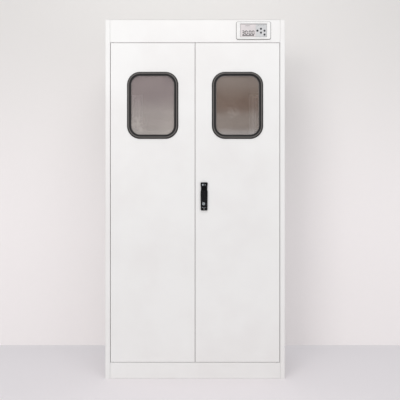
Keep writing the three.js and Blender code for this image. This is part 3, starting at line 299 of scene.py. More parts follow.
def boardFinish(name):   # lacquered board with faint copper tracks under the lacquer
    s = Shade(name)
    tracks = s.node("ShaderNodeTexBrick", {"offset": 0.37},
                    {"Vector": s.place(turn=(math.radians(90), 0, 0)), "Scale": 60.0, "Mortar Size": 0.03,
                     "Color1": (0, 0, 0, 1), "Color2": (0, 0, 0, 1), "Mortar": (1, 1, 1, 1)}, "Fac")
    haze = s.noise(90.0, 3.0)
    colour = s.blend(haze, linear(20, 84, 52), linear(16, 70, 44))
    colour = s.blend(tracks * 0.6, colour, linear(44, 118, 74))
    return s.done(s.surface(Base_Color=colour, Roughness=haze * 0.2 + 0.25,
                            Normal=s.bump(tracks, 0.4, 0.0001)))


boardGreen = boardFinish("boardGreen")

pane = {
    "sillReflection": (0.105, 0.145),   # how far below its middle the painted reflection at the sill begins and is full
    "topReflection": (-0.13, -0.02),   # above its middle, where the pale top of painted reflection ends
    "blobNoise": (0.42, 0.62),   # range of the noise in the pale patch of painted reflection
    "blobNoiseShare": 0.6,
    "streakCover": 0.03,   # what each adds to the cover of the glass
    "lowReflectionCover": 0.05,
    "blobCover": 0.15,
}


# Tinted pane: haze and wiped streaks, with painted reflection as a pale patch, a pale top, a paler lower part
# and a pale band at the sill; its last two tones are those of the paler lower part and of the sill
def glassFinish(name, look):
    s = Shade(name)
    x, _, z = s.axes()
    streaks = s.noise(1.0, 3.0, 0.6, s.place((9, 9, 30)))
    haze = s.noise(9.0, 3.0, 0.6)
    fall = look["centre"] - z   # how far below the middle of the pane
    # painted reflection: paler below the middle, paler still at the sill, pale at the top and in one patch
    lowReflection = fall.rise(*look["lowReflectionFrom"]) * look["lowReflectionShare"]
    sillReflection = fall.rise(*pane["sillReflection"]) * look["sillReflectionShare"]
    topReflection = fall.rise(*pane["topReflection"], look["topReflectionShare"], 0.0)
    blobX, blobZ, blobRadius = look["reflectionBlob"]
    spread = (x - blobX) ** 2 + (z - blobZ) ** 2
    blobNoise = s.noise(1.0, 4.0, 0.7, s.place((70, 70, 45)))
    reflectionBlob = spread.rise(0.0, blobRadius ** 2, 1.0, 0.0) * blobNoise.rise(*pane["blobNoise"]) * pane["blobNoiseShare"]
    tone, shadeTone, lowReflectionTone, sillReflectionTone = toneSet(look)
    colour = s.blend(haze.rise(0.35, 0.7), tone, shadeTone)
    colour = s.blend(lowReflection + topReflection + reflectionBlob * 0.6, colour, lowReflectionTone)
    colour = s.blend(sillReflection, colour, sillReflectionTone)
    cover = streaks.rise(0.4, 0.75) * pane["streakCover"] + look["cover"]
    cover = cover + (lowReflection + topReflection) * pane["lowReflectionCover"] + reflectionBlob * pane["blobCover"]
    return s.done(s.surface(Base_Color=colour, Roughness=streaks * 0.04 + 0.03, Alpha=cover,
                            Normal=s.bump(haze, 0.02, 0.0004), IOR=1.52, Specular_IOR_Level=0.5))


# each pane's tones are its tint with painted reflection in them, which is why the two panes differ
leftGlass = glassFinish("leftPane", {
    "tones": ((194, 179, 177), (186, 171, 170), (214, 205, 198), (230, 223, 216)),
    "centre": 1.37, "topReflectionShare": 0.0, "lowReflectionFrom": (-0.06, 0.05), "lowReflectionShare": 0.7, "sillReflectionShare": 0.6,
    "reflectionBlob": (-0.285, 1.275, 0.055), "cover": 0.32})
rightGlass = glassFinish("rightPane", {
    "tones": ((168, 146, 132), (156, 132, 118), (194, 184, 176), (220, 212, 208)),
    "centre": 1.37, "topReflectionShare": 0.5, "lowReflectionFrom": (0.00, 0.07), "lowReflectionShare": 0.6, "sillReflectionShare": 0.8,
    "reflectionBlob": (0.190, 1.335, 0.040), "cover": 0.29})


def lensFinish(name):   # clear acrylic over a pale display
    s = Shade(name)
    haze = s.noise(30.0, 3.0)
    colour = s.blend(haze.rise(0.3, 0.7), linear(222, 214, 214), linear(212, 206, 206))
    colour = s.blend(s.edges(0.0012) * 0.5, colour, linear(184, 176, 176))
    return s.done(s.surface(Base_Color=colour, Roughness=haze * 0.06 + 0.08, IOR=1.49,
                            Normal=s.bump(haze, 0.03, 0.0003, s.soften(0.0006))))


displayLens = lensFinish("displayLens")


def quartzFinish(name):   # tube of the lamp: pale and partly see-through
    s = Shade(name)
    haze = s.noise(40.0, 3.0)
    colour = s.blend(haze, linear(232, 237, 243), linear(214, 221, 230))
    return s.done(s.surface(Base_Color=colour, Roughness=haze * 0.05 + 0.05, Alpha=haze * 0.15 + 0.6,
                            Normal=s.bump(haze, 0.03, 0.0003), IOR=1.46))


quartz = quartzFinish("lampQuartz")

slotLooks = {
    "painted_panel": white,
    "stainless": stainless,
    "lamp_quartz": quartz,
    "white_plastic": whitePlastic,
    "polished_reflector": reflectorMetal,
    "black_plastic": blackPlastic,
    "galvanised": galvanised,
    "steel": turnedSteel,
    "lock_chrome": satinChrome,
    "window_glass": leftGlass,
    "seal_rubber": sealRubber,
    "strip_rubber": stripRubber,
    "grey_seal": greySeal,
    "display_lens": displayLens,
    "grey_plastic": greyPlastic,
    "key_rubber": keyRubber,
    "circuit_board": boardGreen,
}


def wear(piece, material):   # one finish on every material slot of a piece
    if not piece.data.materials:
        piece.data.materials.append(material)
    for i in range(len(piece.data.materials)):
        piece.data.materials[i] = material


for name, node in nodes.items():
    packed = node.data.materials[0].name.split(".")[0]
    wear(node, slotLooks[packed])
wear(nodes["right_window_glass"], rightGlass)
print("finishes on every CAD node")


# modelling helpers
def rest():   # object mode with nothing selected
    if bpy.context.object and bpy.context.object.mode != "OBJECT":
        bpy.ops.object.mode_set(mode="OBJECT")
    bpy.ops.object.select_all(action="DESELECT")


def activate(piece):   # the one selected and active piece
    rest()
    piece.select_set(True)
    bpy.context.view_layer.objects.active = piece


def editing():   # edit mode on the active piece
    if bpy.context.object.mode != "EDIT":
        bpy.ops.object.mode_set(mode="EDIT")
    return bmesh.from_edit_mesh(bpy.context.object.data)


def pickAll(kind="VERT"):   # everything in the mesh, as points or as faces
    editing()
    bpy.ops.mesh.select_mode(type=kind)
    bpy.ops.mesh.select_all(action="SELECT")


def pick(kind, parts, test):   # selects the parts of the mesh that pass the test
    mesh = editing()
    bpy.ops.mesh.select_mode(type=kind)
    bpy.ops.mesh.select_all(action="DESELECT")
    for part in getattr(mesh, parts):
        part.select_set(bool(test(part)))
    if kind == "VERT":
        mesh.select_flush(True)
    bmesh.update_edit_mesh(bpy.context.object.data)


def pickFaces(test):   # faces whose centre and normal pass the test
    pick("FACE", "faces", lambda face: test(face.calc_center_median(), face.normal))


def pickPoints(test):   # points whose place passes the test
    pick("VERT", "verts", lambda point: test(point.co))


def pickEdges(test):   # edges whose two ends pass the test
    pick("EDGE", "edges", lambda edge: test(edge.verts[0].co, edge.verts[1].co))


def pickFront():   # faces that look out of the front
    pickFaces(lambda centre, normal: normal.y < -0.9)


def pickBack():   # faces that look out of the back
    pickFaces(lambda centre, normal: normal.y > 0.9)


def bevel(width, steps):   # rounds what is selected
    bpy.ops.mesh.bevel(offset=width, segments=steps, profile=0.5)


def insets(steps):   # one inset of what is selected for each width and depth
    for width, depth in steps:
        bpy.ops.mesh.inset(thickness=width, depth=depth)


def cutAcross(axis, places):   # bisects the whole piece across one axis
    for place in places:
        spot, normal = [0, 0, 0], [0, 0, 0]
        spot[axis], normal[axis] = place, 1
        pickAll()
        bpy.ops.mesh.bisect(plane_co=spot, plane_no=normal)


def applied(name):   # settles the new primitive where it is, and names it
    bpy.ops.object.transform_apply(location=True, rotation=True, scale=True)
    bpy.context.object.name = name
    return bpy.context.object


def startBox(name, low, high):
    rest()
    middle = [(a + b) / 2 for a, b in zip(low, high)]
    size = [b - a for a, b in zip(low, high)]
    bpy.ops.mesh.primitive_cube_add(size=1, location=middle, scale=size)
    return applied(name)


def startBlock(name, x, width, front, back, low, high):   # a box centred on x
    return startBox(name, (x - width / 2, front, low), (x + width / 2, back, high))


def startSlab(name, x, z, width, height, front, back):   # a box centred on x and z
    return startBlock(name, x, width, front, back, z - height / 2, z + height / 2)


def startRod(name, place, radius, depth, turn=(0, 0, 0), sides=32):
    rest()
    bpy.ops.mesh.primitive_cylinder_add(vertices=sides, radius=radius, depth=depth, location=place,
                                        rotation=turn)
    return applied(name)


facing = (math.radians(90), 0, 0)   # turns a primitive's own Z to the front


def startDisc(name, x, z, radius, front, back, sides=32):   # a rod from front to back
    return startRod(name, (x, (front + back) / 2, z), radius, back - front, facing, sides)


def startCone(name, x, z, wide, narrow, front, back):   # a cone with its wide end at the back
    rest()
    bpy.ops.mesh.primitive_cone_add(vertices=32, radius1=wide, radius2=narrow, depth=back - front,
                                    location=(x, (front + back) / 2, z), rotation=facing)
    return applied(name)


def startHoop(place, radius, wire, sides, wireSides, turn=(0, 0, 0)):   # a ring of round wire
    rest()
    bpy.ops.mesh.primitive_torus_add(major_radius=radius, minor_radius=wire, major_segments=sides,
                                     minor_segments=wireSides, rotation=turn, location=place)
    return applied("hoop")


def modify(piece, kind, **settings):   # adds one modifier and applies it
    activate(piece)
    step = piece.modifiers.new(kind.lower(), kind)
    for key, value in settings.items():
        setattr(step, key, value)
    bpy.ops.object.modifier_apply(modifier=step.name)


def roundEdges(piece, width, steps):   # every sharp edge of the piece
    modify(piece, "BEVEL", width=width, segments=steps, limit_method="ANGLE")


def combine(piece, other, operation="UNION"):   # the other piece is used up
    modify(piece, "BOOLEAN", operation=operation, solver="EXACT", object=other)
    bpy.data.objects.remove(other)


def carve(piece, cutter):
    combine(piece, cutter, "DIFFERENCE")


def merged(pieces, name):   # joins pieces into one object
    rest()
    for piece in pieces:
        piece.select_set(True)
    bpy.context.view_layer.objects.active = pieces[0]
    if len(pieces) > 1:
        bpy.ops.object.join()
    bpy.context.object.name = name
    return bpy.context.object


def copied(piece, name, shift):   # a copy with its own mesh, moved
    rest()
    twin = piece.copy()
    twin.data = piece.data.copy()
    twin.name = name
    scene.collection.objects.link(twin)
    twin.data.transform(Matrix.Translation(shift))
    return twin


def weld(threshold):   # merges points that touch and turns all faces outwards
    pickAll()
    bpy.ops.mesh.remove_doubles(threshold=threshold)
    bpy.ops.mesh.normals_make_consistent(inside=False)
    rest()


def finished(piece, body, material, instead=(), angle=35.0):
    activate(piece)
    weld(0.00001)
    activate(piece)
    bpy.ops.object.shade_smooth_by_angle(angle=math.radians(angle))
    wear(piece, material)
    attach(piece, body)
    if instead:
        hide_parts(*instead)


# window seals: a moulded ring round each pane, with its locking strip
window = {
    "x": 0.212375,   # left and right of the middle
    "z": 1.37,
    "width": 0.215,   # clear glass
    "height": 0.294,
    "corner": 0.045,
    "cornerSteps": 14,
    "skin": -0.22135,   # front of the door
    "sealFace": 0.0212,   # outer edge of the section, from the clear glass
    "proud": 0.006,   # how far the seal stands off the door
}


def ringHalf(place, size, corner, turn, chain, steps):   # walks one side of a section inwards
    grow = chain[0][0]
    forward = Matrix.Rotation(turn, 3, "X") @ Vector((0, 0, 1))
    rest()
    bpy.ops.mesh.primitive_plane_add(size=1, location=Vector(place) + forward * chain[0][1],
                                     rotation=(turn, 0, 0))
    bpy.context.object.scale = (size[0] + 2 * grow, size[1] + 2 * grow, 1)
    piece = applied("ring_half")
    pickAll()
    bpy.ops.mesh.bevel(offset=corner + grow, offset_type="OFFSET", affect="VERTICES", segments=steps,
                       profile=0.5)
    pickAll("FACE")
    for before, after in zip(chain, chain[1:]):
        bpy.ops.mesh.inset(thickness=before[0] - after[0], depth=after[1] - before[1], use_boundary=True,
                           use_even_offset=True)
    bpy.ops.mesh.delete(type="FACE")
    bpy.ops.object.mode_set(mode="OBJECT")
    return piece


# A closed section of (outward, forward) points, carried round a rounded rectangle
def ring(name, place, size, corner, turn, profile, steps):
    spots = range(len(profile))
    outermost = max(spots, key=lambda i: profile[i][0])
    loop = profile[outermost:] + profile[:outermost]
    innermost = min(spots, key=lambda i: loop[i][0])
    chains = (loop[:innermost + 1], [loop[0]] + loop[:innermost - 1:-1])
    piece = merged([ringHalf(place, size, corner, turn, chain, steps) for chain in chains], name)
    activate(piece)
    weld(0.00002)
    return piece


def windowRing(name, side, profile):
    place = (side * window["x"], window["skin"], window["z"])
    return ring(name, place, (window["width"], window["height"]), window["corner"], math.radians(90), profile,
                window["cornerSteps"])


def arc(centre, radius, start, end, steps):   # points on part of a circle, in degrees
    turns = [math.radians(start + (end - start) * i / steps) for i in range(steps + 1)]
    return [(centre[0] + radius * math.cos(t), centre[1] + radius * math.sin(t)) for t in turns]


face, proud = window["sealFace"], window["proud"]
sealProfile = (
    [(face, -0.0034), (face, 0.0), (face - 0.0003, 0.0010), (face - 0.0010, 0.0022)]
    + arc((0.0125, proud - 0.0090), 0.0090, 52, 100, 8)
    + [(0.0099, 0.0055), (0.0092, 0.0050), (0.0090, 0.0043), (0.0090, 0.0018), (0.0035, 0.0018),
       (0.0035, 0.0038)]
    + arc((0.0022, 0.0024), 0.0018, 60, 150, 4)
    + [(0.0, 0.0008), (0.0, -0.0074), (0.0123, -0.0074)]
)
stripProfile = [(0.0087, 0.0021), (0.0087, 0.0038), (0.0078, 0.0044), (0.0062, 0.0046), (0.0047, 0.0044),
                (0.0038, 0.0038), (0.0038, 0.0021)]
beadProfile = ([(0.0006, -0.0006), (-0.0032, -0.0006)]
               + arc((-0.0032, 0.0030), 0.0034, -90, -10, 5) + [(0.0006, 0.0026)])
sections = {   # name of the piece, section, slot, finish and the CAD node that it replaces
    "sealant_bead": (beadProfile, "grey_seal", sealantWithSheen, None),
    "window_seal_ring": (sealProfile, "seal_rubber", sealRubber, "window_seal"),
    "locking_strip": (stripProfile, "strip_rubber", stripRubber, "seal_strip"),
}
for side, label in ((-1, "left"), (1, "right")):
    for name, (profile, slotName, material, node) in sections.items():
        piece = windowRing(label + "_" + name, side, profile)
        instead = [label + "_" + node] if node else ()
        finished(piece, label + "_door", material, instead, angle=50)
print("window seals made")


# pull handle on the right door, with its key cylinder
handle = {
    "x": 0.0448,
    "z": 0.914,
    "width": 0.0355,
    "length": 0.1406,
    "front": -0.22935,
    "skin": -0.22135,
    "corner": 0.005,
    "rim": 0.0014,
    "waist": (0.9442, 0.9622, 0.0018),   # from, to and how far each side draws in
    "waistBlend": (0.008, 0.009),   # lengths of the slopes below and above it
    "tail": (0.8437, 0.8650, 0.0009),
    "pocket": (0.025, 0.9442, 0.9632, -0.21535),   # width, from, to, floor
    "undercut": 0.016,   # below the mouth of the pocket
    "soft": {"well": 0.0022, "hollow": 0.0015, "scoop": 0.0035, "screw": 0.0009},   # rounded edges
    "wall": 0.002,
    "dish": (0.014, 0.0036, 0.9737),   # radius, depth, height
    "tailDish": (0.017, 0.0022, 0.8532),
    "groove": (0.8650, 0.8679, 0.0025),   # from, to, depth
    "scoop": (0.0095, 0.8935, 0.9385, 0.0007),   # width, from, to, depth
    "studs": ((0.0385, 0.0047), (0.0500, 0.0025)),   # x and radius
    "studZ": 0.9714,
    "studDepth": (-0.0003, 0.0037),   # front and back, from the handle's face
    "screw": (0.0042, 0.8512),   # radius and height
    "screwDepth": (0.0004, 0.0034),
    "screwSlot": (0.0012, 0.0011),   # width, depth from the handle's face
    "trim": (0.022, 0.0030, 0.8578, 0.8590),   # width, depth, from and to
}


def makeHandle(h):
    x, front, halfWidth = h["x"], h["front"], h["width"] / 2
    body = startSlab("pull_handle", x, h["z"], h["width"], h["length"], front, h["skin"])
    pickEdges(lambda a, b: abs(a.x - b.x) < 1e-6 and abs(a.z - b.z) < 1e-6)
    bevel(h["corner"], 6)
    waistLow, waistHigh = h["waist"][:2]
    cutAcross(2, [h["tail"][1], waistLow - h["waistBlend"][0], waistLow, waistHigh,
                  waistHigh + h["waistBlend"][1]])
    for start, stop, inwards in (h["waist"], h["tail"]):
        pickPoints(lambda p: start - 1e-5 < p.z < stop + 1e-5)
        bpy.ops.transform.resize(value=(1 - inwards / halfWidth, 1, 1), center_override=(x, 0, 0))
    pickFront()
    bpy.ops.mesh.region_to_loop()
    bevel(h["rim"], 4)
    rest()

    width, pocketLow, pocketHigh, floor = h["pocket"]
    wall, under = h["wall"], h["undercut"]
    combine(body, startBlock("housing", x, width + 2 * wall, h["skin"] - 0.001, floor + wall,
                             pocketLow - under - wall, pocketHigh + wall))
    well = startBlock("well", x, width, front - 0.01, floor, pocketLow, pocketHigh)
    roundEdges(well, h["soft"]["well"], 4)
    carve(body, well)
    hollow = startBlock("hollow", x, width, front + 0.004, floor, pocketLow - under, pocketLow + 0.004)
    roundEdges(hollow, h["soft"]["hollow"], 3)
    carve(body, hollow)

    for radius, depth, level in (h["dish"], h["tailDish"]):
        rest()
        bpy.ops.mesh.primitive_uv_sphere_add(segments=48, ring_count=32, radius=radius,
                                             location=(x, front - radius + depth, level))
        carve(body, applied("dish"))

    grooveLow, grooveHigh, grooveDepth = h["groove"]
    carve(body, startBlock("groove", x, h["width"] + 0.004, front - 0.004, front + grooveDepth,
                           grooveLow, grooveHigh))
    scoopWidth, scoopLow, scoopHigh, scoopDepth = h["scoop"]
    scoop = startBlock("scoop", x, scoopWidth, front - 0.004, front + scoopDepth, scoopLow, scoopHigh)
    roundEdges(scoop, h["soft"]["scoop"], 6)
    carve(body, scoop)
    return body


def makeTrim(h):   # bright line above the tail
    width, depth, low, high = h["trim"]
    trim = startBlock("handle_trim", h["x"], width, h["front"] - 0.0001, h["front"] + depth, low, high)
    roundEdges(trim, 0.0003, 2)
    return trim


def makeScrew(h):
    radius, level = h["screw"]
    front, back = h["screwDepth"]
    screw = startDisc("tail_screw", h["x"], level, radius, h["front"] + front, h["front"] + back)
    pickFront()
    bevel(h["soft"]["screw"], 4)
    width, depth = h["screwSlot"]
    recess = startSlab("recess", h["x"], level, width, 2 * radius + 0.002, h["front"] - 0.004,
                       h["front"] + depth)
    carve(screw, recess)
    return screw


def makeStuds(h):
    studs = []
    front, back = h["studDepth"]
    for x, radius in h["studs"]:
        studs.append(startDisc("stud", x, h["studZ"], radius, h["front"] + front, h["front"] + back))
        pickFront()
        bevel(radius * 0.3, 4)
    return merged(studs, "handle_studs")


lock = {
    "x": 0.0425,
    "z": 0.877,
    "front": -0.22985,
    "radius": 0.0090,
    "faceRadius": 0.0074,
    "back": -0.2235,
    "face": ((0.0004, 0.0), (0.0010, 0.0), (0.0003, -0.0003)),   # insets of the front: width, depth
    "slot": (0.0017, 0.0088, 0.0035),   # width, height, depth
    "bodyRadius": 0.0066,
    "bodyBack": -0.20685,
    "seat": (0.0094, -0.0079, 0.0039),   # radius, front and back from the handle's face
    "sides": 72,
}


def makeLock(l):
    x, z, front, radius = l["x"], l["z"], l["front"], l["faceRadius"]
    disc = startDisc("key_cylinder", x, z, radius, front, l["back"], l["sides"])
    pickFront()
    insets(l["face"])
    pickPoints(lambda p: p.y < front + 1e-6 and math.hypot(p.x - x, p.z - z) > radius - 0.0002)
    bpy.ops.transform.translate(value=(0, 0.0003, 0))
    width, length, depth = l["slot"]
    slot = startSlab("slot", x, z, width, length, front - 0.002, front + depth)
    roundEdges(slot, 0.0005, 3)
    carve(disc, slot)
    plug = startDisc("plug", x, z, l["bodyRadius"], l["back"], l["bodyBack"], 48)
    return merged([disc, plug], "key_cylinder")


def makeCollar(l):   # dark ring that the bright face sits in
    collar = startDisc("key_collar", l["x"], l["z"], l["radius"], l["front"] + 0.0002, l["back"], l["sides"])
    pickFront()
    bevel(0.0004, 3)
    carve(collar, startDisc("bore", l["x"], l["z"], l["faceRadius"] + 0.0001, l["front"] - 0.01,
                            l["front"] + 0.01, l["sides"]))
    return collar


handleBody = makeHandle(handle)
seatRadius, seatFront, seatBack = lock["seat"]
carve(handleBody, startDisc("seat", lock["x"], lock["z"], seatRadius, handle["front"] + seatFront,
                            handle["front"] + seatBack, lock["sides"]))
finished(handleBody, "right_door", blackPlastic, ["handle_housing"], angle=32)
finished(makeLock(lock), "lock", satinChrome, ["lock_cylinder"], angle=32)
finished(makeCollar(lock), "lock", blackPlastic, angle=32)
finished(makeTrim(handle), "right_door", satinChrome)
finished(makeScrew(handle), "right_door", darkScrew, angle=40)
finished(makeStuds(handle), "right_door", satinChrome, angle=40)
print("pull handle made")


# controller: a grey gasket and a dark line round the display as painted shadow, keys, readout and signal
# lamps
controller = {
    "x": 0.2923,
    "z": 1.7442,
    "bezel": (0.170, 0.086, 0.007),   # width, height, corner
    "header": -0.22135,
    "plate": -0.22405,
    "gasket": (0.0022, 0.0012, 0.003),   # grey ring of painted shadow: shown past the bezel, thickness, hidden behind the bezel
    "joint": (0.1324, 0.0664, 0.0009, 0.0021, 0.0003),   # painted shadow line round the display: width, height, shown at sides and top, thickness
    "keys": {"key_left": (-0.0177, 0.0), "key_right": (0.0177, 0.0), "key_up": (0.0, 0.0096),
             "key_down": (0.0, -0.0096), "key_power": (0.0177, -0.0195)},
    "keyPad": (0.3297, 1.7433),
    "keyRadius": 0.0047,
    "keyFront": -0.22565,
    "keyRim": 0.0009,
    "keyFlange": (-0.21815, -0.22015, 0.0060),   # back, front, radius
    "keyDish": ((0.0006, 0.0), (0.0007, -0.00012), (0.0007, -0.00006), (0.0006, -0.00002)),
    "signals": (0.3160, 0.3250, 0.3340, 0.3430),
    "signalZ": 1.7708,
    "signalRadius": 0.0014,
    "signalRim": 0.0005,
    "signalDepth": (-0.0004, 0.0006),   # front and back, from the plate
}


# Its corners are round, its front is at the centre's y, and it goes back from there
def roundedPlate(name, centre, width, height, corner, depth, steps=8):
    x, y, z = centre
    piece = startSlab(name, x, z, width, height, y, y + depth)
    pickEdges(lambda a, b: abs(a.x - b.x) < 1e-6 and abs(a.z - b.z) < 1e-6)
    bevel(corner, steps)
    rest()
    return piece


# a gasket round the bezel whose grey ring is a painted shadow of the bezel
def makeShadowGasket(c):
    width, height, corner = c["bezel"]
    shown, thick, hidden = c["gasket"]
    plate = roundedPlate("controller_shadow_gasket", (c["x"], c["header"] - thick, c["z"]), width + 2 * shown,
                         height + 2 * shown, corner + shown, thick)
    carve(plate, roundedPlate("hole", (c["x"], c["header"] - 0.01, c["z"]), width - 2 * hidden,
                              height - 2 * hidden, corner - hidden, 0.02))
    return plate


def makeShadowLine(c):   # dark line between bezel and display as a painted shadow of the bezel's lip, deepest along the top
    width, height, side, top, thick = c["joint"]
    drop = (top - side) / 2
    line = roundedPlate("display_shadow_line", (c["x"], c["plate"] - thick, c["z"]), width, height, 0.0015, thick,
                        3)
    carve(line, roundedPlate("hole", (c["x"], c["plate"] - 0.01, c["z"] - drop), width - 2 * side,
                             height - top - side, 0.001, 0.02, 3))
    return line


def makeKey(c, name, offset):   # flanged rubber cap with a rolled edge and a shallow finger dish
    x, z = c["keyPad"][0] + offset[0], c["keyPad"][1] + offset[1]
    flangeBack, flangeFront, flangeRadius = c["keyFlange"]
    cap = startDisc(name + "_cap", x, z, c["keyRadius"], c["keyFront"], flangeFront, 48)
    pickFront()
    bevel(c["keyRim"], 4)
    pickFaces(lambda centre, normal: normal.y < -0.99 and centre.y < c["keyFront"] + 1e-5)
    insets(c["keyDish"])
    combine(cap, startDisc("flange", x, z, flangeRadius, flangeFront, flangeBack, 48))
    return cap


def makeSignals(c):
    signals = []
    front, back = c["signalDepth"]
    for x in c["signals"]:
        signals.append(startDisc("signal", x, c["signalZ"], c["signalRadius"], c["plate"] + front,
                                 c["plate"] + back, 24))
        pickFront()
        bevel(c["signalRim"], 3)
    return merged(signals, "signal_lamps")


finished(makeShadowGasket(controller), "cabinet", shadowGreyRubber, angle=40)
finished(makeShadowLine(controller), "cabinet", shadowGreyRubber, angle=40)
for name, offset in controller["keys"].items():
    finished(makeKey(controller, name, offset), name, keyRubber, [name], angle=50)

readout = {
    "x": 0.2655,
    "z": 1.7330,
    "digitWidth": 0.0092,
    "digitHeight": 0.0185,
    "stroke": 0.0035,
    "gap": 0.0026,
    "front": -0.22415,
    "thick": 0.00012,
    "digits": "3000",
    "between": 0.0004,   # how much shorter each segment is than its side
    "halves": 0.0018,   # how far each pair of digits stands off the middle
    "dot": (0.0020, 0.0042),   # width, above and below the middle
    "line": (-0.014, 0.008, 1.7672, 1.7684),   # left and right of x, low and high
    "shade": (0.058, 1.7168, 1.7204),   # width, low and high
}
segmentsOf = {"0": "abcdef", "1": "bc", "2": "abged", "3": "abgcd", "4": "fgbc", "5": "afgcd",
              "6": "afgedc", "7": "abc", "8": "abcdefg", "9": "abcdfg"}


def makeBar(x, z, length, upright, r):   # one pointed segment of a digit
    stroke = r["stroke"]
    bar = startSlab("bar", x, z, length, stroke, r["front"], r["front"] + r["thick"])
    cutAcross(0, [x - length / 2 + stroke / 2, x + length / 2 - stroke / 2])
    pickPoints(lambda p: abs(p.x - x) > length / 2 - 1e-5)
    bpy.ops.transform.resize(value=(1, 1, 0.05), center_override=(x, 0, z))
    if upright:
        pickAll()
        bpy.ops.transform.rotate(value=math.radians(90), orient_axis="Y", center_override=(x, 0, z))
    rest()
    return bar


def makeDigit(shape, x, z, r):
    w, h = r["digitWidth"], r["digitHeight"]
    places = {"a": (0, h / 2, False), "g": (0, 0, False), "d": (0, -h / 2, False),
              "b": (w / 2, h / 4, True), "c": (w / 2, -h / 4, True),
              "f": (-w / 2, h / 4, True), "e": (-w / 2, -h / 4, True)}
    bars = []
    for segment in segmentsOf[shape]:
        dx, dz, upright = places[segment]
        bars.append(makeBar(x + dx, z + dz, (h / 2 if upright else w) - r["between"], upright, r))
    return bars


def makeReadout(r):   # digits with two dots between them, a line above and a bar below
    bars = []
    step = r["digitWidth"] + r["stroke"] + r["gap"]
    count = len(r["digits"])
    front, back = r["front"], r["front"] + r["thick"]
    for i, shape in enumerate(r["digits"]):
        shift = (i - (count - 1) / 2) * step + (r["halves"] if i >= count / 2 else -r["halves"])
        bars += makeDigit(shape, r["x"] + shift, r["z"], r)
    width, off = r["dot"]
    for dz in (-off, off):
        bars.append(startSlab("dot", r["x"], r["z"] + dz, width, width, front, back))
    left, right, low, high = r["line"]
    bars.append(startBox("line", (r["x"] + left, front, low), (r["x"] + right, back, high)))
    width, low, high = r["shade"]
    bars.append(startBlock("shade", r["x"], width, front + 0.00005, back, low, high))
    return merged(bars, "display_readout")


finished(makeReadout(readout), "cabinet", readoutInk, angle=30)
finished(makeSignals(controller), "cabinet", signalLens, angle=60)
print("controller dressed")


# wire shelves: a bent rod frame, wires across it and a flat bar below
shelf = {
    "levels": {"lower": 0.4538, "middle": 0.8188, "upper": 1.1838},   # height of the frame rod's axis
    "middleY": -0.01985,
    "size": (0.819, 0.303),   # between rod axes
    "corner": 0.018,
    "rod": 0.0035,
    "wire": 0.0020,
    "wires": 17,
    "span": 0.760,
    "bar": (0.012, 0.004, 0.0008),   # width, thickness, rounded edge
}


def makeShelf(s, node, level):
    y, wire = s["middleY"], s["wire"]
    depth = s["size"][1]
    section = arc((0.0, 0.0), s["rod"], 0, -330, 11)
    parts = [ring("frame_rod", (0, y, level), s["size"], s["corner"], 0.0, section, 8)]
    first = startDisc("wire", -s["span"] / 2, level, wire, y - depth / 2, y + depth / 2, 10)
    parts.append(first)
    for i in range(1, s["wires"]):
        parts.append(copied(first, "wire", (s["span"] * i / (s["wires"] - 1), 0, 0)))
    barWidth, barThick, barSoft = s["bar"]
    top = level - wire / 2
    bar = startBlock("bar", 0, s["span"] + 2 * barWidth, y - barWidth / 2, y + barWidth / 2,
                     top - barThick, top)
    roundEdges(bar, barSoft, 2)
    parts.append(bar)
    return merged(parts, node + "_rods")


for name, level in shelf["levels"].items():
    node = "wire_shelf_" + name
    finished(makeShelf(shelf, node, level), "cabinet", stainless, [node], angle=50)
print("shelves made")


# lamps: tube, crimped caps with two pins, and a filament at each end
lamp = {
    "x": 0.350,
    "y": 0.19595,
    "low": 0.595,
    "high": 1.490,
    "radius": 0.013,
    "cap": 0.022,
    "capRim": 0.0012,
    "tube": (0.0006, 0.004),   # how much thinner than the caps, how far it goes into them in all
    "pin": (0.0012, 0.0127, 0.007),   # radius, spacing, length
    "stem": (0.0045, 0.018),   # radius, length
    "lead": (0.0004, 0.030),   # radius, length
    "coil": (0.0016, 0.0004, 9, 0.0011),   # radius, wire radius, turns, pitch
    "crimp": (0.55, 0.0016, 0.94),   # where on the cap, half its width, what it leaves of the radius
}


def makeCaps(l, x, name):
    parts = []
    y = l["y"]
    pinRadius, pinSpacing, pinLength = l["pin"]
    share, half, left = l["crimp"]
    for end, outward in ((l["low"], -1), (l["high"], 1)):
        parts.append(startRod("cap", (x, y, end - outward * l["cap"] / 2), l["radius"], l["cap"],
                              sides=48))
        pickFaces(lambda centre, normal: abs(normal.z) > 0.9)
        bevel(l["capRim"], 3)
        crimp = end - outward * l["cap"] * share
        cutAcross(2, [crimp - half, crimp, crimp + half])
        pickPoints(lambda p: abs(p.z - crimp) < 1e-5)
        bpy.ops.transform.resize(value=(left, left, 1), center_override=(x, y, 0))
        for side in (-1, 1):
            place = (x, y + side * pinSpacing / 2, end + outward * (pinLength / 2 - 0.0005))
            parts.append(startRod("pin", place, pinRadius, pinLength + 0.001, sides=16))
    return merged(parts, name)


def makeFilaments(l, x, name):
    parts = []
    y = l["y"]
    stemRadius, stemLength = l["stem"]
    leadRadius, leadLength = l["lead"]
    radius, wireRadius, turns, pitch = l["coil"]
    for end, outward in ((l["low"], -1), (l["high"], 1)):
        foot = end - outward * l["cap"]
        tip = foot - outward * leadLength
        place = (x, y, foot - outward * stemLength / 2)
        parts.append(startRod("stem", place, stemRadius, stemLength, sides=24))
        for side in (-1, 1):
            place = (x, y + side * turns * pitch / 2, (foot + tip) / 2)
            parts.append(startRod("lead", place, leadRadius, leadLength, sides=8))
        for i in range(turns):
            place = (x, y + (i - (turns - 1) / 2) * pitch, tip)
            parts.append(startHoop(place, radius, wireRadius, 16, 6, facing))
    return merged(parts, name)


